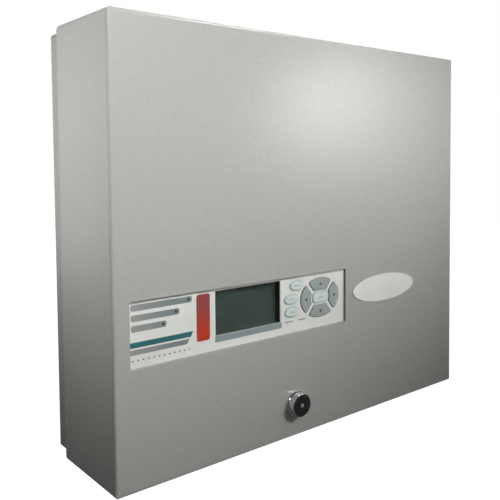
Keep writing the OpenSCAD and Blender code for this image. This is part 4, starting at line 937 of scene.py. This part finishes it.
    def make_camera(self, scene, stage):
        """The camera at the photograph's viewing angle."""
        data = bpy.data.cameras.new("camera")
        data.sensor_width = 36.0
        data.lens = stage.lens
        data.shift_x = stage.shift_x
        data.shift_y = stage.shift_y
        data.clip_start = 0.01
        camera = linked("camera", data)
        level = math.cos(stage.pitch)
        forward = Vector((math.sin(stage.yaw) * level, math.cos(stage.yaw) * level, math.sin(stage.pitch)))
        right = Vector((math.cos(stage.yaw), -math.sin(stage.yaw), 0))
        up = right.cross(forward)
        turn = Matrix.Rotation(stage.roll, 3, forward)
        axes = Matrix((turn @ right, turn @ up, -forward)).transposed().to_4x4()
        camera.matrix_world = Matrix.Translation(stage.eye) @ axes
        scene.camera = camera


class PANEL_OT_enclosure(Operator):
    """Coat the cover and the back box and finish the hinges"""
    bl_idname = "panel.enclosure"
    bl_label = "Enclosure"

    def execute(self, context):
        sizes = settings().sizes
        # The back box's finish is the cover's coat darkened with painted shade.
        for node, item in (("front_cover", "coat"), ("back_box", "box_coat")):
            dress(node, [item], sizes.sheet_edge / MM, corner=sizes.sheet_corner)
        dress_all((("hinge_pins", "zinc", 0.2), ("hinge_bushes", "nylon", 0.2)))
        return {"FINISHED"}


class PANEL_OT_fascia(Operator):
    """Finish the overlay, its printing, the alarm window and the lamps"""
    bl_idname = "panel.fascia"
    bl_label = "Fascia"

    painted = (("fascia_gasket", "foam"), ("fascia_plate", "plate"), ("fascia_studs", "zinc"))
    dressed = (("overlay", "film", 0.0), ("fascia_nuts", "zinc", 0.2), ("alarm_window", "lens", 0.3),
               ("status_leds", "smoked", 0.1), ("alarm_leds", "lamp", 0.2))
    # The printing, in millimetres on the cover's front
    bar_left, bar_half, bar_past_lamp, bar_corner = 14.0, 2.1, 2.6, 1.5
    teal_band = ((12.6, 94.6), (59.0, 94.6), (61.0, 98.2), (12.6, 98.2))
    grey_band = ((12.6, 90.0), (56.0, 90.0), (58.0, 93.4), (12.6, 93.4))
    display_strip = (79.2, 86.7, 140.9, 91.2, 0.4)
    row_start, row_pitch, row_count = (15.0, 86.2), 3.9, 12
    dash_starts, dash_length, dash_heights, dash_corner = (144.0, 157.6), 8.0, (89.8, 90.6), 0.35
    # The column of dots, in millimetres from the alarm window's lower left corner
    column_start, column_pitch, column_count = (3.2, 3.4), 3.7, 8

    def execute(self, context):
        for node, item in self.painted:
            paint(node, item)
        dress_all(self.dressed)
        self.print_bars()
        self.print_bands()
        self.print_marks()
        return {"FINISHED"}

    def printed(self, name, outlines, ink):
        """Flat ink on the overlay's face."""
        bm = bmesh.new()
        for outline in outlines:
            add_prism(bm, outline, OVERLAY_FACE - settings().sizes.print_height, OVERLAY_FACE)
        place_solid(name, closed(bm), [ink], "overlay")

    def print_bars(self):
        """A status bar behind each lamp, from near the window's left edge to just past the lamp."""
        outlines = []
        for low, high in solids("status_leds"):
            u, v = face_middle(low, high)
            outlines.append(rounded_outline(self.bar_left, v - self.bar_half, u + self.bar_past_lamp,
                                            v + self.bar_half, self.bar_corner))
        self.printed("status_bars", outlines, "bar_ink")

    def print_bands(self):
        """Straight bands below the bars and a pale strip below the display."""
        self.printed("teal_band", [[on_face(u, v).xz for u, v in self.teal_band]], "teal_ink")
        self.printed("grey_band", [[on_face(u, v).xz for u, v in self.grey_band]], "bar_ink")
        self.printed("display_strip", [rounded_outline(*self.display_strip)], "strip_ink")

    def print_marks(self):
        """A row of dots under the bands, a column on the alarm window, and two dashes under the keys."""
        sizes = settings().sizes
        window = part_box("alarm_window")[0]
        face = OVERLAY_FACE - sizes.print_height / 2
        u, v = self.row_start
        dots = [on_face(u + self.row_pitch * i, v, face) for i in range(self.row_count)]
        x, z = self.column_start
        dots += [Vector((window.x + x * MM, face, window.z + (z + self.column_pitch * i) * MM))
                 for i in range(self.column_count)]
        values = {"Diameter": sizes.dot, "Thickness": sizes.print_height}
        grow("printed_dots", dot_tree(finish("mark_ink")), dots, values, "overlay")
        low, high = self.dash_heights
        dashes = [rounded_outline(u, low, u + self.dash_length, high, self.dash_corner)
                  for u in self.dash_starts]
        self.printed("key_dashes", dashes, "bar_ink")


class PANEL_OT_display(Operator):
    """Finish the display window, its frame, the glass and their boards"""
    bl_idname = "panel.display"
    bl_label = "Display"

    painted = (("lcd_window", "clear"), ("lcd_glass", "display"), ("lcd_board", "board"),
               ("display_board", "board"))
    dressed = (("lcd_frame", "plate", 0.2), ("key_switches", "black", 0.2), ("cover_header", "black", 0.15))

    def execute(self, context):
        for node, item in self.painted:
            paint(node, item)
        dress_all(self.dressed)
        return {"FINISHED"}


class PANEL_OT_keys(Operator):
    """Round the key caps, paint shade on the ring keys' edges and a printed rim on the others, and print a
    plain sign on each
    """
    bl_idname = "panel.keys"
    bl_label = "Keys"

    ring = {"key_up": (0, 1), "key_right": (1, 0), "key_down": (0, -1), "key_left": (-1, 0)}
    soft = ("key_enter", "key_top", "key_middle", "key_bottom")
    # Rings of the caps' swell, as inset and rise, and how high the rim's colour goes, in millimetres; on the
    # ring keys that colour is painted shade, on the soft keys a printed rim
    ring_swell = ((0.06, -0.14), (0.2, -0.03), (0.45, 0.05), (0.75, 0.1), (1.05, 0.12))
    soft_swell = ((0.06, -0.14), (0.2, 0.0), (0.5, 0.14), (1.0, 0.27), (1.7, 0.36))
    ring_rim, soft_rim = 0.02, 0.22
    # Corners of a triangle as outwards and sideways, and half a dash with its corner
    triangle = ((1.5, 0.0), (-0.9, 1.5), (-0.9, -1.5))
    dash_length, dash_height, dash_corner = 3.0, 0.45, 0.4

    def execute(self, context):
        for node, way in self.ring.items():
            dress(node, ["ring_key", "ring_key_painted_edge_shade"], 0.0, 1, self.rim_of(node, self.ring_rim), self.ring_swell)
            self.print_sign(node, self.arrow(node, way), "mark_ink", self.ring_swell)
        for node in self.soft:
            dress(node, ["soft_key", "soft_edge"], 0.0, 1, self.rim_of(node, self.soft_rim), self.soft_swell)
            self.print_sign(node, self.dash(node), "soft_ink", self.soft_swell)
        return {"FINISHED"}

    def rim_of(self, node, rise_mm):
        """A choice of finish: the rim's up to a height over the key's face, and the cap's above it."""
        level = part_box(node)[0].y - rise_mm * MM

        def cap_or_rim(face):
            """Nought for the cap and one for the rim."""
            return 0 if face.calc_center_median().y < level else 1

        return cap_or_rim

    def print_sign(self, node, outline, ink, swell):
        """A sign of ink on the top of a swollen cap."""
        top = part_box(node)[0].y - swell[-1][1] * MM
        height = settings().sizes.print_height
        bm = bmesh.new()
        add_prism(bm, outline, top - height, top + height)
        place_solid(node + "_sign", closed(bm), [ink], node)

    def arrow(self, node, way):
        """A small triangle that points away from the ring's middle, half way between enter key and rim."""
        low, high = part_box(node)
        ring_low, ring_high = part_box("key_enter")
        middle = (ring_low + ring_high) / 2
        axis = 0 if way[0] else 2
        rim = high if sum(way) > 0 else low
        out = (abs(rim[axis] - middle[axis]) + ring_high[axis] - middle[axis]) / 2
        outline = []
        for along, across in self.triangle:
            x = middle.x + way[0] * (out + along * MM) + way[1] * across * MM
            z = middle.z + way[1] * (out + along * MM) + way[0] * across * MM
            outline.append((x, z))
        return outline

    def dash(self, node):
        """A short plain dash in the middle of the cap."""
        u, v = face_middle(*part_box(node))
        return rounded_outline(u - self.dash_length, v - self.dash_height, u + self.dash_length,
                               v + self.dash_height, self.dash_corner)


class PANEL_OT_lock(Operator):
    """Finish the cam lock, its nut, its cam and the catch"""
    bl_idname = "panel.lock"
    bl_label = "Cam lock"

    # The plug's finish paints a highlight: pale round the keyway, black further out.
    dressed = (("lock_body", "chrome", 0.04), ("lock_face", "lock_black", 0.15), ("lock_plug", "worn", 0.1))
    zinc_nodes = ("lock_nut", "lock_cam", "lock_catch", "cover_earth_stud")
    # Half of the shutter's width and height, and how deep it lies in the keyway, in millimetres
    shutter_half = Vector((0.48, 0.0, 1.68)) * MM
    shutter_front, shutter_rear, shutter_edge = 0.25 * MM, 0.65 * MM, 0.1 * MM

    def execute(self, context):
        dress_all(self.dressed)
        self.shut_keyway()
        dress_all((node, "zinc", 0.25) for node in self.zinc_nodes)
        return {"FINISHED"}

    def shut_keyway(self):
        """The sprung dust shutter just inside the keyway."""
        low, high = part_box("lock_plug")
        middle = (low + high) / 2
        near, far = middle - self.shutter_half, middle + self.shutter_half
        near.y = low.y + self.shutter_front
        far.y = low.y + self.shutter_rear
        bm = bmesh.new()
        add_box(bm, near, far)
        round_edges(closed(bm), self.shutter_edge)
        # The shutter takes the plug's finish, so it shows the painted highlight's pale centre.
        place_solid("keyway_shutter", bm, ["worn"], "lock_plug")


class PANEL_OT_badge(Operator):
    """Finish the bare oval badge"""
    bl_idname = "panel.badge"
    bl_label = "Badge"

    def execute(self, context):
        dress("badge", ["badge"], 0.15, 3)
        return {"FINISHED"}


class PANEL_OT_boards(Operator):
    """Finish the main board and its parts and scatter small parts on it"""
    bl_idname = "panel.boards"
    bl_label = "Boards"

    dressed = (("board_standoffs", "tinned", 0.2), ("terminal_blocks", "terminal", 0.2),
               ("relays", "relay", 0.6, 3), ("sounder", "black", 0.25), ("display_header", "black", 0.15))
    # Reach of a chip's leads beside its body, and the height over the board where the body's sides begin
    lead, lead_height = 1.0 * MM, 1.3 * MM
    # Free areas of the main board as left, bottom, right and top, and the room for a small part
    areas = ((14, 30, 46, 118), (74, 66, 88, 100), (124, 34, 168, 84), (122, 92, 158, 118), (78, 20, 136, 34))
    spacing = 5.5 * MM

    def execute(self, context):
        paint("main_board", "board")
        paint("power_board", "board")
        dress_all(self.dressed)
        dress("logic_chips", ["chip", "tinned"], 0.08, 1, self.leads_of("logic_chips"))
        self.scatter()
        return {"FINISHED"}

    def leads_of(self, node):
        """A choice of finish: the leads' beside each chip, and the body's elsewhere."""
        chips = solids(node)
        reach = self.lead + MERGE

        def body_or_lead(face):
            """Nought for the body and one for a lead."""
            at = face.calc_center_median()
            for low, high in chips:
                if low.z <= at.z <= high.z and low.x <= at.x <= high.x:
                    inside = low.x + reach < at.x < high.x - reach
                    upper_side = abs(face.normal.x) > 0.9 and at.y < BOARD_FACE - self.lead_height
                    return 0 if inside or upper_side else 1
            return 0

        return body_or_lead

    def scatter(self):
        """Small chip parts on the free areas of the main board."""
        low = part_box("main_board")[0]
        bm = bmesh.new()
        for x0, z0, x1, z1 in self.areas:
            corners = [(x0, z0), (x1, z0), (x1, z1), (x0, z1)]
            bm.faces.new([bm.verts.new((low.x + x * MM, BOARD_FACE, low.z + z * MM)) for x, z in corners])
        mesh = mesh_of("small_part_areas", bm)
        sizes = settings().sizes
        values = {"Length": sizes.small_part, "Spacing": self.spacing, "Seed": sizes.seed}
        grow("small_parts", small_parts_tree(finish("chip"), finish("tinned")), mesh, values, "logic_chips")


class PANEL_OT_power(Operator):
    """Finish the power supply: transformer, heat sink, capacitors, fuses and mains terminal"""
    bl_idname = "panel.power"
    bl_label = "Power supply"

    dressed = (("transformer_core", "ferrite", 0.3), ("transformer_coil", "tape", 0.4, 3),
               ("heat_sink", "anodised", 0.15), ("mains_terminal", "relay", 0.3),
               ("capacitors", "sleeve", 0.0))
    earthed = (("earth_stud", "zinc", 0.2), ("earth_nuts", "zinc", 0.2))
    # A capacitor's bare end: inset of its rim, chamfer, and how far its rear, its rim and its face stand out
    end_inset, end_chamfer, end_sunk, end_edge, end_proud = 1.0 * MM, 0.3 * MM, -0.2 * MM, 0.1 * MM, 0.18 * MM
    # Its stripe: degrees round the sleeve, height over it and under it, and what it leaves free at the ends
    stripe_turn = range(200, 245, 5)
    stripe_over, stripe_under, stripe_front, stripe_rear = 0.06 * MM, 0.1 * MM, 0.8 * MM, 3.2 * MM
    # A fuse: its axis over the board and its caps, then how the glass fits in them
    fuse_height, cap_radius, cap_length, cap_chamfer = 6.0 * MM, 2.62 * MM, 6.0 * MM, 0.3 * MM
    glass_inset, glass_overlap = 0.15 * MM, 0.1 * MM
    # Its clips: place along the fuse, half width, foot, gap over the foot, and place and half of their walls
    clip_centre, clip_half, clip_foot, clip_gap = 9.0 * MM, 3.0 * MM, 1.0 * MM, 0.02 * MM
    clip_wall, clip_wall_half = 3.0 * MM, 0.4 * MM

    def execute(self, context):
        dress_all(self.dressed)
        self.top_capacitors()
        self.make_fuses()
        dress_all(self.earthed)
        return {"FINISHED"}

    def top_capacitors(self):
        """A bare end on each capacitor and a pale stripe down its sleeve."""
        ends = bmesh.new()
        stripes = bmesh.new()
        arc = [math.radians(turn) for turn in self.stripe_turn]
        for low, high in solids("capacitors"):
            middle = (low + high) / 2
            radius = (high.x - low.x) / 2
            rim = radius - self.end_inset
            profile = [(0, self.end_sunk), (rim, self.end_sunk), (rim, self.end_edge),
                       (rim - self.end_chamfer, self.end_proud), (0, self.end_proud)]
            add_turned(ends, profile, (middle.x, low.y, middle.z), (0, -1, 0))
            outline = []
            for reach, angles in ((radius + self.stripe_over, arc), (radius - self.stripe_under, arc[::-1])):
                outline += [(middle.x + reach * math.cos(a), middle.z + reach * math.sin(a)) for a in angles]
            add_prism(stripes, outline, low.y + self.stripe_front, high.y - self.stripe_rear)
        place_solid("capacitor_ends", closed(ends), ["tinned"], "capacitors")
        place_solid("capacitor_stripes", closed(stripes), ["stripe"], "capacitors")

    def make_fuses(self):
        """Sprung clips, a glass tube and its two caps in place of each fuse and holder."""
        clips = bmesh.new()
        tubes = bmesh.new()
        cap = [(0, 0), (self.cap_radius - self.cap_chamfer, 0), (self.cap_radius, self.cap_chamfer),
               (self.cap_radius, self.cap_length), (0, self.cap_length)]
        for low, high in solids("fuse_holders"):
            middle = (low + high) / 2
            axis_y = high.y - self.fuse_height
            half = (high.x - low.x) / 2
            for side in (-1, 1):
                x0 = middle.x + side * self.clip_centre - self.clip_half
                x1 = x0 + 2 * self.clip_half
                add_box(clips, (x0, high.y - self.clip_foot, low.z), (x1, high.y, high.z))
                for wall in (-1, 1):
                    z = middle.z + wall * self.clip_wall
                    add_box(clips, (x0, low.y, z - self.clip_wall_half),
                            (x1, high.y - self.clip_foot - self.clip_gap, z + self.clip_wall_half))
                add_turned(clips, cap, (middle.x + side * half, axis_y, middle.z), (-side, 0, 0))
            inset = self.cap_length - self.glass_overlap
            glass_radius = self.cap_radius - self.glass_inset
            reach = 2 * (half - inset)
            glass = [(0, 0), (glass_radius, 0), (glass_radius, reach), (0, reach)]
            add_turned(tubes, glass, (middle.x - half + inset, axis_y, middle.z), (1, 0, 0))
        place_solid("fuse_clips", closed(clips), ["tinned"], "fuse_holders", True)
        place_solid("fuse_tubes", closed(tubes), ["fuse_tube"], "fuse_holders")


class PANEL_OT_batteries(Operator):
    """Finish the batteries, their tabs and the strap"""
    bl_idname = "panel.batteries"
    bl_label = "Batteries"

    dressed = (("battery_left", "battery", 0.3), ("battery_right", "battery", 0.3),
               ("battery_terminals", "tinned", 0.12), ("battery_strap", "zinc", 0.3))
    # Half the surround's width, its height, its gap to the tab and its edge
    surround_half, surround_height, surround_gap, surround_edge = 4.5 * MM, 1.6 * MM, 0.05 * MM, 0.3 * MM

    def execute(self, context):
        dress_all(self.dressed)
        self.seat_tabs()
        return {"FINISHED"}

    def seat_tabs(self):
        """A red or black surround at the foot of each tab."""
        bm = bmesh.new()
        half = self.surround_half
        for i, (low, high) in enumerate(solids("battery_terminals")):
            x, y = ((low + high) / 2).xy
            gap = (high.x - low.x) / 2 + self.surround_gap
            for side in (-1, 1):
                inner, outer = sorted((x + side * gap, x + side * half))
                add_box(bm, (inner, y - half, low.z), (outer, y + half, low.z + self.surround_height), i % 2)
        round_edges(closed(bm), self.surround_edge)
        place_solid("tab_surrounds", bm, ["black", "red_abs"], "battery_left")


class PANEL_OT_screws(Operator):
    """Put cross-head and slotted screws in place of the plain ones"""
    bl_idname = "panel.screws"
    bl_label = "Screws"

    # node, axis and shank in millimetres
    cross_heads = (("board_screws", (0, -1, 0), 3.0), ("display_screws", (0, 1, 0), 2.4),
                   ("cam_screw", (0, 1, 0), 3.98), ("bracket_screws", (0, -1, 0), 3.8),
                   ("bracket_screws", (0, 0, 1), 3.8))
    # A cross head's height as a share of its diameter, and at most this share of the whole screw
    head_height, head_most = 0.34, 0.45
    # Number of terminals, what their row leaves free at each end, and a screw's place in its well
    terminal_count, terminal_end, terminal_depth, terminal_rise = 36, 0.1 * MM, 4.9 * MM, 3.0 * MM
    mains_across, mains_depth, mains_pitch = 6.0 * MM, 7.9 * MM, 9.5 * MM

    def execute(self, context):
        tree = screw_tree(finish("zinc"))
        for node, axis, shank_mm in self.cross_heads:
            self.heads(tree, node, axis, shank_mm)
        self.slotted(tree, "terminal_screws", self.terminal_places(), diameter=3.2 * MM, depth=1.6 * MM)
        self.slotted(tree, "mains_screws", self.mains_places(), diameter=4.4 * MM, depth=1.8 * MM)
        return {"FINISHED"}

    def heads(self, tree, node, axis, shank_mm):
        """Screws where a node's solids stand along an axis: across it they are as wide as they are high."""
        along = next(i for i in range(3) if axis[i])
        across = [i for i in range(3) if i != along]
        boxes = [(low, high) for low, high in solids(node)
                 if abs((high - low)[across[0]] - (high - low)[across[1]]) < 0.02 * MM]
        if not boxes:
            raise RuntimeError(f"{node}: no screw stands along {axis}")
        size = boxes[0][1] - boxes[0][0]
        head = size.x
        length = size[along]
        height = min(self.head_height * head, self.head_most * length)
        places = []
        for low, high in boxes:
            middle = (low + high) / 2
            middle[along] = high[along] - height if axis[along] > 0 else low[along] + height
            places.append(middle)
        values = {"Head diameter": head, "Head height": height, "Dome": 0.3 * height,
                  "Shank diameter": shank_mm * MM, "Shank length": length - height,
                  "Recess width": 0.16 * head, "Recess depth": height, "Recess length": 0.62 * head,
                  "Cross": True, "Axis": axis, "Seed": settings().sizes.seed}
        grow(f"{node}_{'xyz'[along]}_heads", tree, places, values, node, True)

    def slotted(self, tree, name, places, diameter, depth):
        """Slotted terminal screws at places on the wall box."""
        values = {"Head diameter": diameter, "Head height": depth, "Dome": 0.1 * MM,
                  "Shank diameter": 0.5 * diameter, "Shank length": 0.6 * MM,
                  "Recess width": 0.22 * diameter, "Recess depth": 0.8 * depth,
                  "Recess length": 1.3 * diameter, "Cross": False, "Axis": (0, -1, 0),
                  "Seed": settings().sizes.seed}
        grow(name, tree, places, values, "board_screws")

    def terminal_places(self):
        """The well of every terminal on the main board."""
        low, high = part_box("terminal_blocks")
        pitch = (high.x - low.x + 2 * self.terminal_end) / self.terminal_count
        start = low.x - self.terminal_end
        return [Vector((start + (i + 0.5) * pitch, low.y + self.terminal_depth, low.z + self.terminal_rise))
                for i in range(self.terminal_count)]

    def mains_places(self):
        """The wells of the mains terminal, three on each side."""
        low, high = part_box("mains_terminal")
        middle = (low + high) / 2
        return [Vector((middle.x + side * self.mains_across, low.y + self.mains_depth,
                        middle.z + row * self.mains_pitch)) for side in (-1, 1) for row in (-1, 0, 1)]


class PANEL_PT_parts(Panel):
    """Lists the panel's pieces and the studio"""
    bl_label = "Alarm panel"
    bl_idname = "PANEL_PT_parts"
    bl_space_type = "VIEW_3D"
    bl_region_type = "UI"
    bl_category = "Alarm panel"

    def draw(self, context):
        for operator in OPERATORS:
            self.layout.operator(operator.bl_idname)


class PanelSettings(PropertyGroup):
    """Everything about the panel's looks that a user would change"""
    colours: PointerProperty(type=PanelColours, name="Colours", description="Colours of the finishes")
    sizes: PointerProperty(type=PanelSizes, name="Sizes", description="Sizes of small details")
    stage: PointerProperty(type=StageSizes, name="Stage", description="Camera, floor and lights")


OPERATORS = (PANEL_OT_stage, PANEL_OT_enclosure, PANEL_OT_fascia, PANEL_OT_display, PANEL_OT_keys,
             PANEL_OT_lock, PANEL_OT_badge, PANEL_OT_boards, PANEL_OT_power, PANEL_OT_batteries,
             PANEL_OT_screws)
CLASSES = (PanelColours, PanelSizes, StageSizes, PanelSettings) + OPERATORS + (PANEL_PT_parts,)


def register():
    """Adds the classes and the scene's settings."""
    for item in CLASSES:
        bpy.utils.register_class(item)
    bpy.types.Scene.alarm_panel = PointerProperty(type=PanelSettings)


def unregister():
    """Takes the scene's settings and the classes away."""
    del bpy.types.Scene.alarm_panel
    for item in reversed(CLASSES):
        bpy.utils.unregister_class(item)


def main():
    register()
    for operator in OPERATORS:
        group, action = operator.bl_idname.split(".")
        getattr(getattr(bpy.ops, group), action)()


if __name__ == "__main__":
    main()
